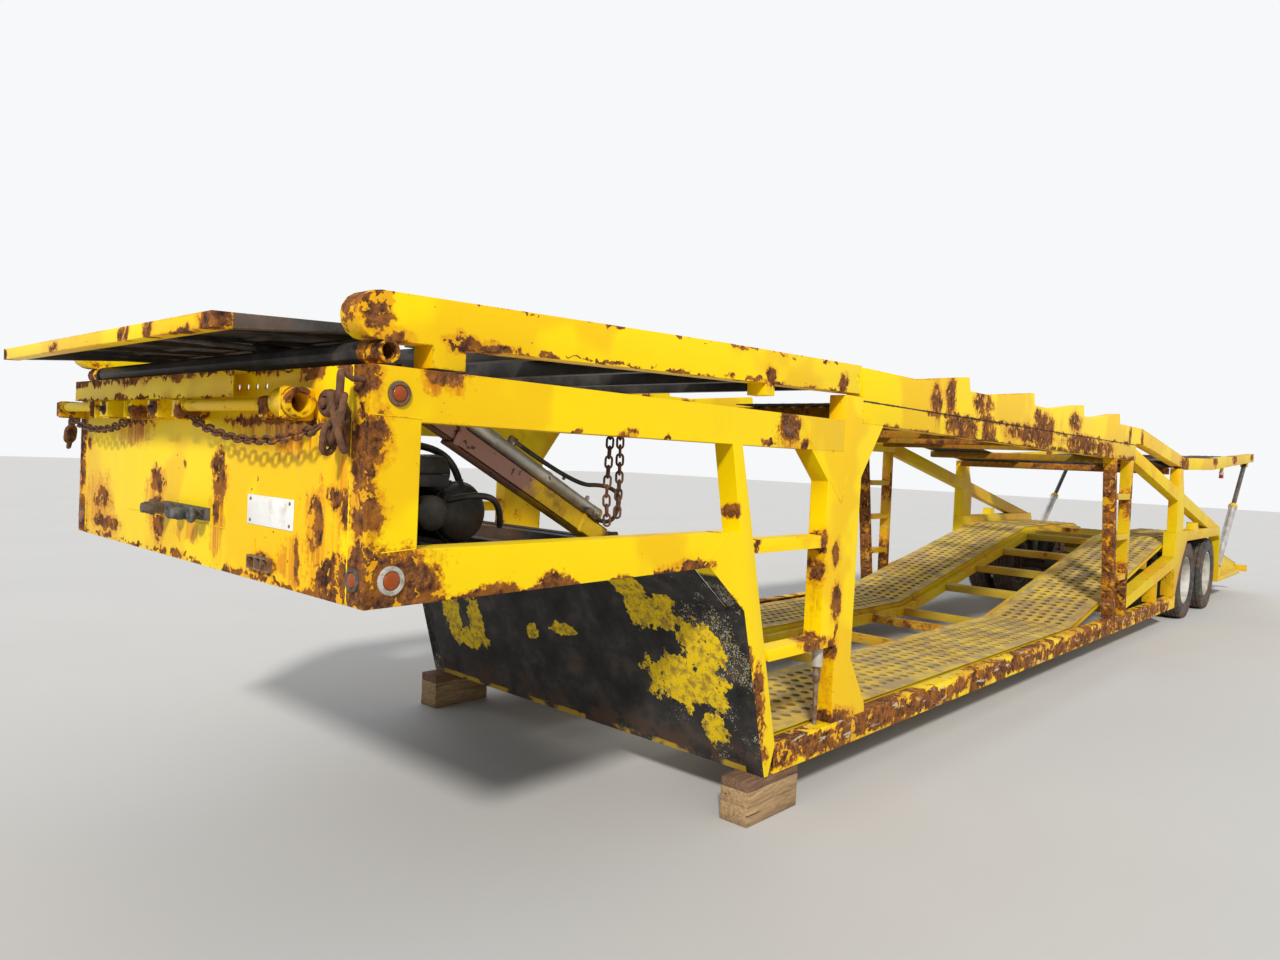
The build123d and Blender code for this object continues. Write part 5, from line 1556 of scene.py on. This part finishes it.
# a direction in the plane of a wheel
def spoke(angle):
    return Vector((math.cos(angle), 0, math.sin(angle)))


# section of a tyre as (distance from its middle, radius), from bead to bead over the tread
def tyreSection():
    r, w, rim = tyreLook["radius"], tyreLook["halfWidth"], tyreLook["rimRadius"]
    side = [(-w + 0.03, rim + 0.001), (-w + 0.014, rim + 0.008), (-w + 0.007, rim + 0.022),
            (-w + 0.01, rim + 0.034), (-w + 0.004, rim + 0.052), (-w + 0.0005, rim + 0.08),
            (-w + 0.001, rim + 0.1), (-w + 0.0045, rim + 0.116), (-w + 0.0035, rim + 0.121),
            (-w + 0.0085, rim + 0.134), (-w + 0.013, r - 0.026), (-w + 0.021, r - 0.0105),
            (-w + 0.03, r - 0.004)]
    tread = []
    for middle in tyreLook["grooves"]:
        half, deep = tyreLook["grooveHalf"], tyreLook["grooveDepth"]
        crown = r - 0.004 * (middle / w) ** 2
        tread += [(middle - half - 0.0008, crown), (middle - half + 0.0012, crown - 0.002),
                  (middle - half + 0.002, crown - deep), (middle + half - 0.002, crown - deep),
                  (middle + half - 0.0012, crown - 0.002), (middle + half + 0.0008, crown)]
    return side + tread + [(-a, b) for a, b in side[::-1]]


def addTyre(shape, centre, sides=96):
    section = tyreSection()
    rings = []
    for i in range(sides):
        way = spoke(math.tau * i / sides)
        rings.append([centre + Vector((0, across, 0)) + way * radius for across, radius in section])
    count = len(section)
    faces = []
    for i in range(sides):
        low, high = i * count, (i + 1) % sides * count
        faces += [(low + j, low + j + 1, high + j + 1, high + j) for j in range(count - 1)]
        faces.append((low + count - 1, low, high, high + count - 1))
    addMesh(shape, [point for ring in rings for point in ring], faces)
    # short cuts across both shoulders
    cuts = tyreLook["cuts"]
    for i in range(cuts):
        way = spoke(math.tau * (i + 0.5) / cuts)
        for side in (1, -1):
            across = side * (tyreLook["halfWidth"] - 0.0125)
            middle = centre + way * (tyreLook["radius"] - 0.0165) + Vector((0, across, 0))
            addBox(shape, middle, way, (0, 1, 0), (0.014, 0.012, 0.009))


discLook = {
    "holes": 10,
    "sides": 120,
    "thick": 0.01,
    # the dish from the hub outwards and the band outside the hand holes: distance along the axle, radius
    "dish": pairs(0, 82, 0, 118, 4, 148, 16, 170, 40, 186, 58, 202),
    "band": pairs(70, 232, 74, 262, 74, 272),
    # half the gap between the two discs of a twin wheel
    "apart": 0.0135,
}


# the disc of a wheel: rings of points whose outline dips inwards at ten hand holes
def addDisc(shape, centre, way):
    holes, sides = discLook["holes"], discLook["sides"]
    section, outer, thick = discLook["dish"], discLook["band"], discLook["thick"]

    def ring(along, radius, back):
        return [centre + Vector((0, way * (along - (thick if back else 0)), 0))
                + spoke(math.tau * i / sides) * radius for i in range(sides)]
    front = [ring(a, r, False) for a, r in section]
    rear = [ring(a, r, True) for a, r in section]
    addRings(shape, front + rear[::-1], loop=True)
    # between the dish and the rim, plates stand between the hand holes
    per = sides // holes
    full = [ring(a, r, back) for back in (False, True) for a, r in [section[-1]] + outer]
    half = len(outer) + 1
    for hole in range(holes):
        start = hole * per + 3
        span = [(start + k) % sides for k in range(per - 5)]
        points, faces = [], []
        for ringPoints in full:
            points += [ringPoints[k] for k in span]
        width = len(span)
        for layer in range(half - 1):
            for k in range(width - 1):
                a = layer * width + k
                faces.append((a, a + 1, a + width + 1, a + width))
                b = (layer + half) * width + k
                faces.append((b, b + width, b + width + 1, b + 1))
            for edge in (0, width - 1):
                a, b = layer * width + edge, (layer + half) * width + edge
                faces.append((a, a + width, b + width, b))
        for layer in (0, half - 1):
            for k in range(width - 1):
                a, b = layer * width + k, (layer + half) * width + k
                faces.append((a, b, b + 1, a + 1))
        addMesh(shape, points, faces)
    ringSet = [ring(a, r, back) for a, r, back in ((0.0735, 0.252, False), (0.0735, 0.272, False),
                                                   (0.0735, 0.272, True), (0.0735, 0.252, True))]
    addRings(shape, ringSet, loop=True)


rim = pairs(-103, 284, -103, 272.5, -94, 272.5, -86, 268, 70, 268, 86, 272.5, 103, 272.5, 103, 284,
            90, 284.5, 84, 277, -84, 277, -90, 284.5)
hubLook = {
    "inner": 0.668,
    "studs": 10,
    "studCircle": 0.132,
    "studRadius": 0.009,
    "capBolts": 8,
    "capCircle": 0.071,
    "capReach": 0.36,
    # from the drum with its cooling ribs to the cap, and back inside
    "profile": pairs(0, 50, 0, 213, 12, 213, 14, 207, 60, 207, 62, 213, 72, 213, 74, 207, 118, 207,
                     120, 213, 131, 213, 131, 100, 320, 83, 356, 83, 360, 79, 360, 60, 372, 60.5,
                     415, 60.5, 424, 56, 428.5, 45, 428.5, 4, 50, 4, 50, 50),
}


# two rims with their discs, and the hub with ten studs, nuts and a bolted cap
def addWheelRims(rims, metal, back, side):
    wheelY = (outerY + innerTyreY) / 2
    apart = discLook["apart"]
    for y in (outerY, innerTyreY):
        addLathe(rims, at(back, side * y, axleZ), acrossWay, rim, 96, loop=True)
    for way in (1, -1):
        addDisc(rims, at(back, side * (wheelY + way * apart), axleZ), side * way)
    out = Vector((0, side, 0))
    addLathe(metal, at(back, side * hubLook["inner"], axleZ), out, hubLook["profile"], 64, loop=True)
    for i in range(hubLook["studs"]):
        place = at(back, side * (wheelY + apart), axleZ)
        place += spoke(math.tau * i / hubLook["studs"] + 0.16) * hubLook["studCircle"]
        addRod(metal, place, place + out * 0.03, hubLook["studRadius"], 12, 0.0015)
        addBolt(metal, place, out, 0.0155)
    for i in range(hubLook["capBolts"]):
        place = at(back, side * (hubLook["inner"] + hubLook["capReach"]), axleZ)
        addBolt(metal, place + spoke(math.tau * (i + 0.5) / hubLook["capBolts"]) * hubLook["capCircle"],
                out, 0.0048)


axleLook = {
    "radius": 0.059,
    "end": 0.654,
    "spindleRadius": 0.0385,
    "spindleEnd": 0.758,
    "shieldBolts": 8,
    "chamberY": 0.27,
    "chamberZ": 0.485,
}


# an axle beam with spindles, dust shields, brake chambers and the shafts to their cams
def buildAxle(back):
    dark = newShape()
    end = axleLook["end"]
    addRod(dark, at(back, -end, axleZ), at(back, end, axleZ), axleLook["radius"], 40, 0.004)
    for side in (1, -1):
        out = Vector((0, side, 0))
        addRod(dark, at(back, side * end, axleZ), at(back, side * axleLook["spindleEnd"], axleZ),
               axleLook["spindleRadius"], 24, 0.003)
        addLathe(dark, at(back, side * 0.64, axleZ), out,
                 pairs(0, 60, 0, 190, 4, 193.5, 13, 193.5, 13, 60), 48, loop=True)
        for i in range(axleLook["shieldBolts"]):
            around = spoke(math.tau * i / axleLook["shieldBolts"]) * 0.105
            addBolt(dark, at(back, side * 0.641, axleZ) + around, (0, -side, 0), 0.009)
        # brake chamber: two dished halves clamped together, a push rod and the slack adjuster
        y = side * axleLook["chamberY"]
        low = at(back + 0.28, y, axleLook["chamberZ"])
        addLathe(dark, low, (1, 0, 0),
                 pairs(0, 30, 6, 58, 30, 68, 60, 70, 64, 76.5, 82, 76.5, 86, 70, 116, 66, 140, 48, 150, 22),
                 36)
        addRod(dark, low + Vector((0.148, 0, 0)), low + Vector((0.278, 0, 0)), 0.0095, 14)
        addBox(dark, at(back + 0.02, y, 0.5), (1, 0, 0.1), acrossWay, (0.05, 0.03, 0.045))
        addLathe(dark, at(back, side * 0.4, axleZ + 0.02), out, pairs(0, 16, 235, 16), 16)
    return dark


def heightOn(line, back):
    for (backA, zA), (backB, zB) in zip(line, line[1:]):
        if backA <= back <= backB:
            return zA + (zB - zA) * (back - backA) / (backB - backA)
    return line[-1][1]


springLook = {
    "ys": (0.362, 0.438),
    "reaches": (0.558, 0.5, 0.42, 0.34, 0.26),
    "leaf": 0.0062,
    "step": 0.0068,
    "curve": 0.092,
    "bend": 1.35,
    "boltRadius": 0.006,
    "hangers": (10.6, 11.7, 12.78),
    "hangerZ": 0.628,
}


# a hanger from the side: its top follows the beam's lower edge
def hangerOutline(back):
    under = [(b, z - 0.124) for b, z in runwayLine]
    left, right = back - 0.108, back + 0.108
    return [(left, heightOn(under, left) - 0.0005), (right, heightOn(under, right) - 0.0005),
            (back + 0.058, 0.602), (back - 0.058, 0.602)]


# leaf packs over the axles, clamped by U-bolts between plates, hung from brackets under the beams
def buildSuspension():
    dark = newShape()
    leaf, step, bolt = springLook["leaf"], springLook["step"], springLook["boltRadius"]
    middle = axleZ + 0.06
    for side in (1, -1):
        low, high = sorted(side * y for y in springLook["ys"])
        for back in axleBacks.values():
            for i, reach in enumerate(springLook["reaches"]):
                top, bottom = [], []
                for k in range(21):
                    t = -1 + k / 10
                    rise = (springLook["curve"] - step * i) * (abs(t) * reach / 0.56) ** springLook["bend"]
                    z = middle + 0.0265 - step * i + rise * 0.78
                    top.append((back + t * reach, z + leaf))
                    bottom.append((back + t * reach, z))
                addSide(dark, top + bottom[::-1], low + 0.004, high - 0.004)
            addBlock(dark, (back - 0.055, back + 0.055), (low, high), (middle - 0.001, middle + 0.0025))
            for way in (-0.046, 0.046):
                for y in (low + 0.0065, high - 0.0065):
                    addRod(dark, at(back + way, y, 0.4), at(back + way, y, middle + 0.03), bolt, 10)
                z = middle + 0.0305
                addRod(dark, at(back + way, low + 0.001, z), at(back + way, high - 0.001, z), bolt, 10)
            addBlock(dark, (back - 0.054, back + 0.054), (low + 0.002, high - 0.002), (0.396, 0.405))
        for back in springLook["hangers"]:
            z = springLook["hangerZ"]
            for y in (low + 0.001, high - 0.009):
                addSide(dark, hangerOutline(back), y, y + 0.008)
            addRod(dark, at(back, low + 0.001, z), at(back, high - 0.001, z), 0.016, 20, 0.002)
            addBlock(dark, (back - 0.048, back - 0.04), (low + 0.002, high - 0.002), (0.66, 0.8))
            addBolt(dark, at(back, high - 0.001 if side > 0 else low + 0.001, z), (0, side, 0), 0.01)
    return dark


# long cylinders that hold the rear deck
def buildRearCylinders():
    barrel, collar, rod, ends = newShape(), newShape(), newShape(), newShape()
    barrelLine = pairs(0, 2, 0, 46, 4, 49.2, 34, 49.2, 40, 47.5, 420, 47.5, 424, 49.2, 446, 49.2, 450, 47.5,
                       1215, 47.5, 1219, 49.2, 1285, 49.2, 1285, 36, 100, 36, 100, 2)
    collarLine = pairs(0, 36, 0, 54.5, 3, 57.2, 18, 57.2, 20, 54.8, 30, 54.8, 32, 57.2, 46, 57.2, 49, 54.5,
                       49, 36)
    eyeLine = pairs(0, 20.7, 0, 34, 3, 37.2, 55, 37.2, 58, 34, 58, 20.7)
    first, second = sidesOf(rearAlong)
    for side in (1, -1):
        y = side * rearLook["y"]
        addLathe(barrel, rearPlace(0.072, 0, y), rearAlong, barrelLine, 40, loop=True)
        addLathe(collar, rearPlace(1.301, 0, y), rearAlong, collarLine, 40, loop=True)
        for turn in range(6):
            angle = math.tau * turn / 6
            way = first * math.cos(angle) + second * math.sin(angle)
            addBolt(collar, rearPlace(1.345, 0, y) + way * 0.0475, rearAlong, 0.0042)
        addRod(rod, rearPlace(1.0, 0, y), rearPlace(rearLength - 0.012, 0, y), rearLook["rodRadius"], 32,
               0.003)
        addLathe(ends, rearPlace(0, 0, y - 0.029), acrossWay, eyeLine, 36, loop=True)
        addBox(ends, rearPlace(0.055, 0, y), rearAlong, acrossWay, (0.044, 0.057, 0.057))
        addLathe(rod, rearPlace(rearLength, 0, y - 0.0255), acrossWay,
                 pairs(0, 25, 3, 27.5, 48, 27.5, 51, 25), 28)
        for s in (0.13, 1.25):
            addLathe(collar, rearPlace(s, 0.0455, y), rearAbove, pairs(0, 9.5, 3.5, 9.5), 14)
    return barrel, collar, rod, ends


bayLook = {
    "back": 2.59,
    "y": 1.24,
    "rodRadius": 0.0122,
    "rodLow": 0.3465,
    "pinZ": 0.602,
}


# short cylinders in the front bays: a pale barrel, a rusty cap and a rod
def buildBayCylinders():
    white, rusty = newShape(), newShape()
    back, low, pinZ = bayLook["back"], bayLook["rodLow"], bayLook["pinZ"]
    barrelLine = pairs(0, 20, 0, 26.5, 3, 29.2, 14, 29.2, 17, 27.5, 88, 27.5, 91, 29.2, 104.5, 29.2,
                       104.5, 4)
    capLine = pairs(0, 10, 2, 17.5, 12, 19.2, 60, 19.2, 66, 16, 79.5, 16)
    for side in (1, -1):
        y = side * bayLook["y"]
        addLathe(white, at(back, y, 0.64), (0, 0, 1), barrelLine, 32)
        addLathe(rusty, at(back, y, 0.5605), (0, 0, 1), capLine, 28)
        addRod(rusty, at(back, y, low), at(back, y, 0.561), bayLook["rodRadius"], 24, 0.001)
        addLathe(rusty, at(back, y, low), (0, 0, 1), pairs(0, 12.6, 4, 12.6), 24)
        addRod(rusty, at(back, y - 0.0185, pinZ), at(back, y + 0.0185, pinZ), 0.008, 16)
    return white, rusty


timberLook = {
    "back": 2.175,
    "halfLength": 0.2075,
    "y": 1.21,
    "halfWidth": 0.0795,
    # bottom, top and how much narrower, of two blocks and a board
    "blocks": ((0.0005, 0.088, 0.002), (0.0885, 0.159, 0.001)),
    "board": (0.1605, 0.2055, 0.003),
    "uneven": 0.004,
    "pale": ((0.46, 0.31, 0.16), (0.24, 0.145, 0.075)),
    "dark": ((0.24, 0.135, 0.08), (0.1, 0.058, 0.038)),
    "cracks": (0.05, 0.03, 0.018),
    "damp": (0.13, 0.085, 0.05),
}


# sawn blocks with slightly uneven edges, cracks and a board on top
def buildTimber():
    block, board = newShape(), newShape()
    layers = [(block, *row) for row in timberLook["blocks"]] + [(board, *timberLook["board"])]
    low, high = timberLook["back"] - timberLook["halfLength"], timberLook["back"] + timberLook["halfLength"]
    for side in (1, -1):
        for shape, z0, z1, trim in layers:
            nudge = [rng.uniform(0, timberLook["uneven"]) for _ in range(4)]
            wide = timberLook["halfWidth"] - trim
            y = side * timberLook["y"]
            addSide(shape, [(low + nudge[0], z0), (high - nudge[1], z0), (high - nudge[2], z1),
                            (low + nudge[3], z1)], y - wide, y + wide)
    return block, board


rackLook = {
    "halfWidth": 1.026,
    "sideWidth": 0.0585,
    "lipHalf": 1.086,
    # outlines from the side, as (station, height)
    "sideLine": ((-0.358, 1.951), (-0.358, 1.9955), (0.418, 2.0352), (0.418, 2.0068), (0.11, 1.9945)),
    "lipLine": ((-0.3598, 1.9505), (-0.3598, 1.996), (-0.301, 1.9985), (-0.301, 1.9525)),
    "floorLine": ((-0.3, 1.9935), (0.41, 2.0295)),
    "floorTop": ((0.41, 2.0335), (-0.3, 1.9975)),
    "ribBacks": (-0.18, 0.06, 0.3),
    "stringYs": (-0.8, -0.42, -0.02, 0.36, 0.78),
    "weldYs": (-0.9, -0.3, 0.3, 0.9),
    "rivetBacks": (-0.31, 0.0, 0.36),
    "rodY": 0.45,
    "rodRadius": 0.0093,
}


# the rack that slides out over the cab: lip, two sides, floor with ribs, and its rod
def buildHeadRack():
    lip, sides, mesh, rod = newShape(), newShape(), newShape(), newShape()
    half, sideLow = rackLook["halfWidth"], rackLook["halfWidth"] + 0.0005
    for low in (sideLow, -sideLow - 0.059):
        addSide(sides, rackLook["sideLine"], low, low + rackLook["sideWidth"])
    addSide(lip, rackLook["lipLine"], -rackLook["lipHalf"], rackLook["lipHalf"])
    floorLine = rackLook["floorLine"]
    addSide(mesh, floorLine + rackLook["floorTop"], -half, half)
    for back in rackLook["ribBacks"]:
        z = 1.9935 + 0.036 * (back + 0.3) / 0.71
        addBlock(mesh, (back - 0.024, back + 0.024), (-half, half), (z - 0.0065, z - 0.0005))
    for y in rackLook["stringYs"]:
        string = [(back, z - 0.0155) for back, z in floorLine] + list(floorLine[::-1])
        addSide(mesh, string, y - 0.003, y + 0.003)
    for y in rackLook["weldYs"]:
        addWeld(mesh, at(-0.3, y - 0.05, 1.99), at(-0.3, y + 0.05, 1.99), 0.003)
    for y in (1.0855, -1.0855):
        for back in rackLook["rivetBacks"]:
            z = 1.974 + 0.04 * (back + 0.36) / 0.78
            addLathe(sides, at(back, y - (0.0015 if y > 0 else -0.0015), z), (0, y, 0),
                     pairs(0, 6, 1.8, 5.5), 12)
    y = rackLook["rodY"]
    addRod(rod, at(-0.318, y, 1.973), at(0.19, y, 1.973), rackLook["rodRadius"], 20)
    return lip, sides, mesh, rod


# finishes of the small pieces
chainRust = wornFinish("chainRust", (0.04, 0.02, 0.013), (0.14, 0.056, 0.024), 0.42, 0.58, 30, 0.3, 0.2,
                       0.85)
boltSteel = wornFinish("boltSteel", (0.22, 0.17, 0.11), (0.1, 0.055, 0.032), 0.42, 0.58, 26, 0.4, 0.4, 0.7)
weldBead = yellowPaint("weldBead", 0.14, 0.5, 0.004, 0.8)
castGrey = wornFinish("castGrey", (0.045, 0.045, 0.046), (0.12, 0.115, 0.105), 0.42, 0.6, 24, 0.28, 0.4,
                      0.6)
darkRing = wornFinish("darkRing", (0.05, 0.046, 0.04), (0.11, 0.085, 0.06), 0.44, 0.6, 40, 0.3, 0.5, 0.55)
paleRing = wornFinish("paleRing", (0.46, 0.44, 0.4), (0.3, 0.26, 0.2), 0.44, 0.6, 40, 0.22, 0.5, 0.5)
rubberHose = wornFinish("rubberHose", (0.012, 0.012, 0.012), (0.03, 0.027, 0.024), 0.4, 0.6, 18, 0.0, 0.0,
                        0.6, grain=260.0, depth=0.0006)
silverBarrel = wornFinish("silverBarrel", (0.4, 0.4, 0.39), (0.58, 0.57, 0.54), 0.38, 0.62, 7, 0.1, 0.3,
                          0.42, metallic=0.55, depth=0.0008)
rodSteel = wornFinish("rodSteel", (0.62, 0.62, 0.62), (0.48, 0.47, 0.46), 0.4, 0.62, 12, 0.05, 0.1, 0.24,
                      metallic=0.95, depth=0.0003)
darkBarrel = wornFinish("darkBarrel", (0.035, 0.04, 0.048), (0.085, 0.085, 0.085), 0.4, 0.62, 6, 0.16, 0.35,
                        0.5)
blackGear = wornFinish("blackGear", (0.01, 0.01, 0.01), (0.028, 0.025, 0.022), 0.4, 0.62, 9, 0.05, 0.25,
                       0.55, dust=0.18)
discWhite = wornFinish("discWhite", (0.62, 0.61, 0.57), (0.44, 0.41, 0.35), 0.42, 0.64, 8, 0.16, 0.45, 0.6,
                       dust=0.35)
tyreRubber = wornFinish("tyreRubber", (0.016, 0.016, 0.016), (0.04, 0.037, 0.033), 0.4, 0.64, 12, 0.0, 0.0,
                        0.82, grain=220.0, depth=0.0012, dust=0.3)
charcoalSteel = wornFinish("charcoalSteel", (0.04, 0.038, 0.036), (0.075, 0.066, 0.058), 0.4, 0.62, 6, 0.14,
                           0.42, 0.62)


strutLook = {
    "primer": ((0.4, 0.2, 0.165), (0.3, 0.17, 0.15)),
    "pocks": (0.085, 0.032, 0.022),
    "paint": ((0.82, 0.52, 0.01), (0.42, 0.22, 0.03)),
    "changeBack": 0.86,
    "changeWidth": 0.1,
    "rag": 0.35,
}


# lift struts: pinkish primer with brown pocks above, yellow towards the foot
def strutFinish():
    material, shader, vector = newMaterial("strutPrimer")
    rust = useGroup(rustGroup, vector, {"Patches": 0.17, "Edges": 0.45, "Edge Width": 0.008})
    pocks = stepOf(noiseOf(vector, 26, 4, 0.6), 0.62, 0.66)
    primer = mixOf(pocks, mixOf(noiseOf(vector, 6, 4), *strutLook["primer"]), strutLook["pocks"])
    paint = mixOf(stepOf(noiseOf(vector, 15, 5), 0.45, 0.65), *strutLook["paint"])
    change = noseX - strutLook["changeBack"] + strutLook["rag"] / 2
    ragged = splitOf(vector)["X"] + noiseOf(vector, 8, 5) * strutLook["rag"]
    colour = mixOf(stepOf(ragged, change, change + strutLook["changeWidth"]), paint, primer)
    colour = mixOf(rust["Rust"], colour, rust["Colour"])
    return closeMaterial(material, shader, colour, 0.66, rust["Height"] + pocks * 0.4, 0.002)


# coloured lenses: facets moulded inside, and a dull veil on top
def lensFinish(name, light, deep):
    material, shader, vector = newMaterial(name)
    facets = addNode(vector, "TexVoronoi", {"Vector": vector, "Scale": 230.0})["Distance"]
    tone = mixOf(noiseOf(vector, 22, 4), light, deep)
    tone = mixOf(stepOf(noiseOf(vector, 60, 5), 0.55, 0.8, 0.0, 0.35), tone, lampLook["veil"])
    return closeMaterial(material, shader, tone, 0.32, facets, 0.0012, 0.7, 0.35)


# sawn timber: rings stretched along the grain, saw marks, dark checks and a damp foot
def timberFinish(name, light, darkTone):
    material, shader, vector = newMaterial(name)
    grain = stretchedOf(warpOf(vector, 5, 0.06), (4, 42, 42), 1.6, 7, 0.62)
    between = tuple((a + b) / 2 for a, b in zip(light, darkTone))
    checks = stepOf(stretchedOf(vector, (2.5, 60, 60), 1.2, 3), 0.66, 0.7)
    colour = mixOf(checks, rampOf(grain, [(0.3, darkTone), (0.48, between), (0.64, light)]),
                   timberLook["cracks"])
    colour = mixOf(fadeOf(splitOf(vector)["Z"], 0.0, 0.05, 0.45), colour, timberLook["damp"])
    return closeMaterial(material, shader, colour, 0.88, grain - checks * 0.8, 0.002, shine=0.2)


# blank plate: white enamel with soil and a few chips
def plateFinish():
    material, shader, vector = newMaterial("blankPlate")
    soil = stepOf(noiseOf(vector, 9, 7, 0.65), 0.46, 0.74, 0.0, 0.65)
    tone = mixOf(soil, plateLook["enamel"], plateLook["soil"])
    tone = mixOf(stepOf(noiseOf(vector, 90, 3), 0.7, 0.72), tone, plateLook["chips"])
    return closeMaterial(material, shader, tone, 0.42, noiseOf(vector, 12, 3), 0.0015, 0.5)


strutPrimer = strutFinish()
amberLens = lensFinish("amberLens", *lampLook["amber"])
redLens = lensFinish("redLens", *lampLook["red"])
timberPale = timberFinish("timberPale", *timberLook["pale"])
timberDark = timberFinish("timberDark", *timberLook["dark"])


# every row: shape, name, finish, body, slot, the solid it stands for, width of its bevel
def finishAll(rows):
    for shape, name, finish, body, slot, solid, width in rows:
        finishPiece(shape, name, finish, body, slot, solid.split(), width)


ties, tieTrim = buildTieBars()
couplings = buildCouplings()
chains = buildChains()
lenses, darkRings, paleRings = buildLamps()
plate, plateTrim = buildPlate()
welds = buildNoseTrim()
markerCase, markerLens = buildMarker()
finishAll([
    (ties, "tieBars", paintTies, "trailer", "yellow_paint", "tie_bars", 0.0012),
    (tieTrim, "tieBarPins", chainRust, "trailer", "rusty_chain", "tie_bars", 0),
    (couplings, "noseCouplings", castGrey, "trailer", "dark_steel", "nose_couplings", 0.0008),
    (chains, "chains", chainRust, "trailer", "rusty_chain", "chains", 0),
    (lenses, "lampLenses", amberLens, "trailer", "lamp_amber", "lamps", 0),
    (darkRings, "lampRings", darkRing, "trailer", "black_paint", "lamps", 0),
    (paleRings, "lampRingsPale", paleRing, "trailer", "silver_paint", "lamps", 0),
    (plate, "blankPlate", plateFinish(), "trailer", "white_paint", "", 0.0006),
    (plateTrim, "plateTrim", boltSteel, "trailer", "dark_steel", "", 0),
    (welds, "frameWelds", weldBead, "trailer", "yellow_paint", "", 0),
    (markerCase, "markerCase", paleRing, "rear_deck", "white_paint", "", 0.005),
    (markerLens, "markerLens", redLens, "rear_deck", "lamp_amber", "", 0.002),
])
print("nose made")

struts, barrels, rods, innerStruts = buildLegs()
hoseRubber, hoseMetal = buildHoses()
gear, gearTrim = buildAirGear()
finishAll([
    (struts, "liftStruts", strutPrimer, "lift_legs", "silver_paint", "lift_cylinders", 0.0015),
    (barrels, "liftBarrels", silverBarrel, "lift_legs", "silver_paint", "lift_cylinders", 0),
    (rods, "liftRods", rodSteel, "lift_rods", "bare_steel", "lift_rods", 0),
    (innerStruts, "liftInnerStruts", strutPrimer, "lift_rods", "bare_steel", "lift_rods", 0.0012),
    (hoseRubber, "liftHoses", rubberHose, "lift_legs", "tyre_rubber", "hoses", 0),
    (hoseMetal, "hoseFittings", boltSteel, "lift_legs", "bare_steel", "hoses", 0.001),
    (gear, "airGear", blackGear, "trailer", "black_paint", "air_gear", 0.004),
    (gearTrim, "airGearTrim", castGrey, "trailer", "dark_steel", "air_gear", 0),
])
print("gooseneck made")

rearBarrel, rearCollar, rearRod, rearEnds = buildRearCylinders()
bayWhite, bayRusty = buildBayCylinders()
block, board = buildTimber()
rackLip, rackSides, rackFloor, rackRod = buildHeadRack()
finishAll([
    (rearBarrel, "rearBarrels", silverBarrel, "rear_cylinders", "silver_paint", "rear_cylinders", 0),
    (rearCollar, "rearCollars", paintTies, "rear_cylinders", "yellow_paint", "rear_cylinders", 0),
    (rearEnds, "rearCylinderEyes", paintTies, "rear_cylinders", "yellow_paint", "rear_cylinders", 0.002),
    (rearRod, "rearRods", darkBarrel, "rear_rods", "bare_steel", "rear_rods", 0),
    (bayWhite, "bayCylinders", discWhite, "trailer", "white_paint", "bay_cylinders", 0),
    (bayRusty, "bayCylinderEnds", boltSteel, "trailer", "dark_steel", "bay_cylinders", 0),
    (block, "timberBlocks", timberPale, "trailer", "timber", "timber_blocks", 0.004),
    (board, "timberBoards", timberDark, "trailer", "timber", "timber_blocks", 0.003),
    (rackLip, "headRackLip", paintRack, "head_rack", "yellow_paint", "head_rack", 0.0015),
    (rackSides, "headRackSides", charcoalSteel, "head_rack", "dark_steel", "head_rack", 0.0015),
    (rackFloor, "headRackFloor", blackGear, "head_rack", "dark_steel", "head_rack", 0),
    (rackRod, "headRackRod", castGrey, "head_rack", "bare_steel", "head_rack", 0),
])
print("cylinders and rack made")

# wheels, one set of pieces per axle and side
for axle, back in axleBacks.items():
    for sideName, side in (("left", 1), ("right", -1)):
        place = axle + "_" + sideName
        label = axle.title() + sideName.title()
        tyres, rims, hubs = newShape(), newShape(), newShape()
        for y in (outerY, innerTyreY):
            addTyre(tyres, at(back, side * y, axleZ))
        addWheelRims(rims, hubs, back, side)
        finishAll([
            (tyres, "tyres" + label, tyreRubber, "wheels_" + place, "tyre_rubber", "tyres_" + place, 0),
            (rims, "rims" + label, discWhite, "wheels_" + place, "white_paint", "rims_" + place, 0),
            (hubs, "hubs" + label, castGrey, "wheels_" + place, "dark_steel", "rims_" + place, 0),
        ])
axles = newShape()
for back in axleBacks.values():
    part = buildAxle(back)
    addMesh(axles, part["points"], part["faces"])
finishAll([
    (axles, "axles", blackFrame, "trailer", "black_paint", "axles", 0),
    (buildSuspension(), "suspension", blackFrame, "trailer", "black_paint", "suspension", 0.001),
])
print("running gear made")
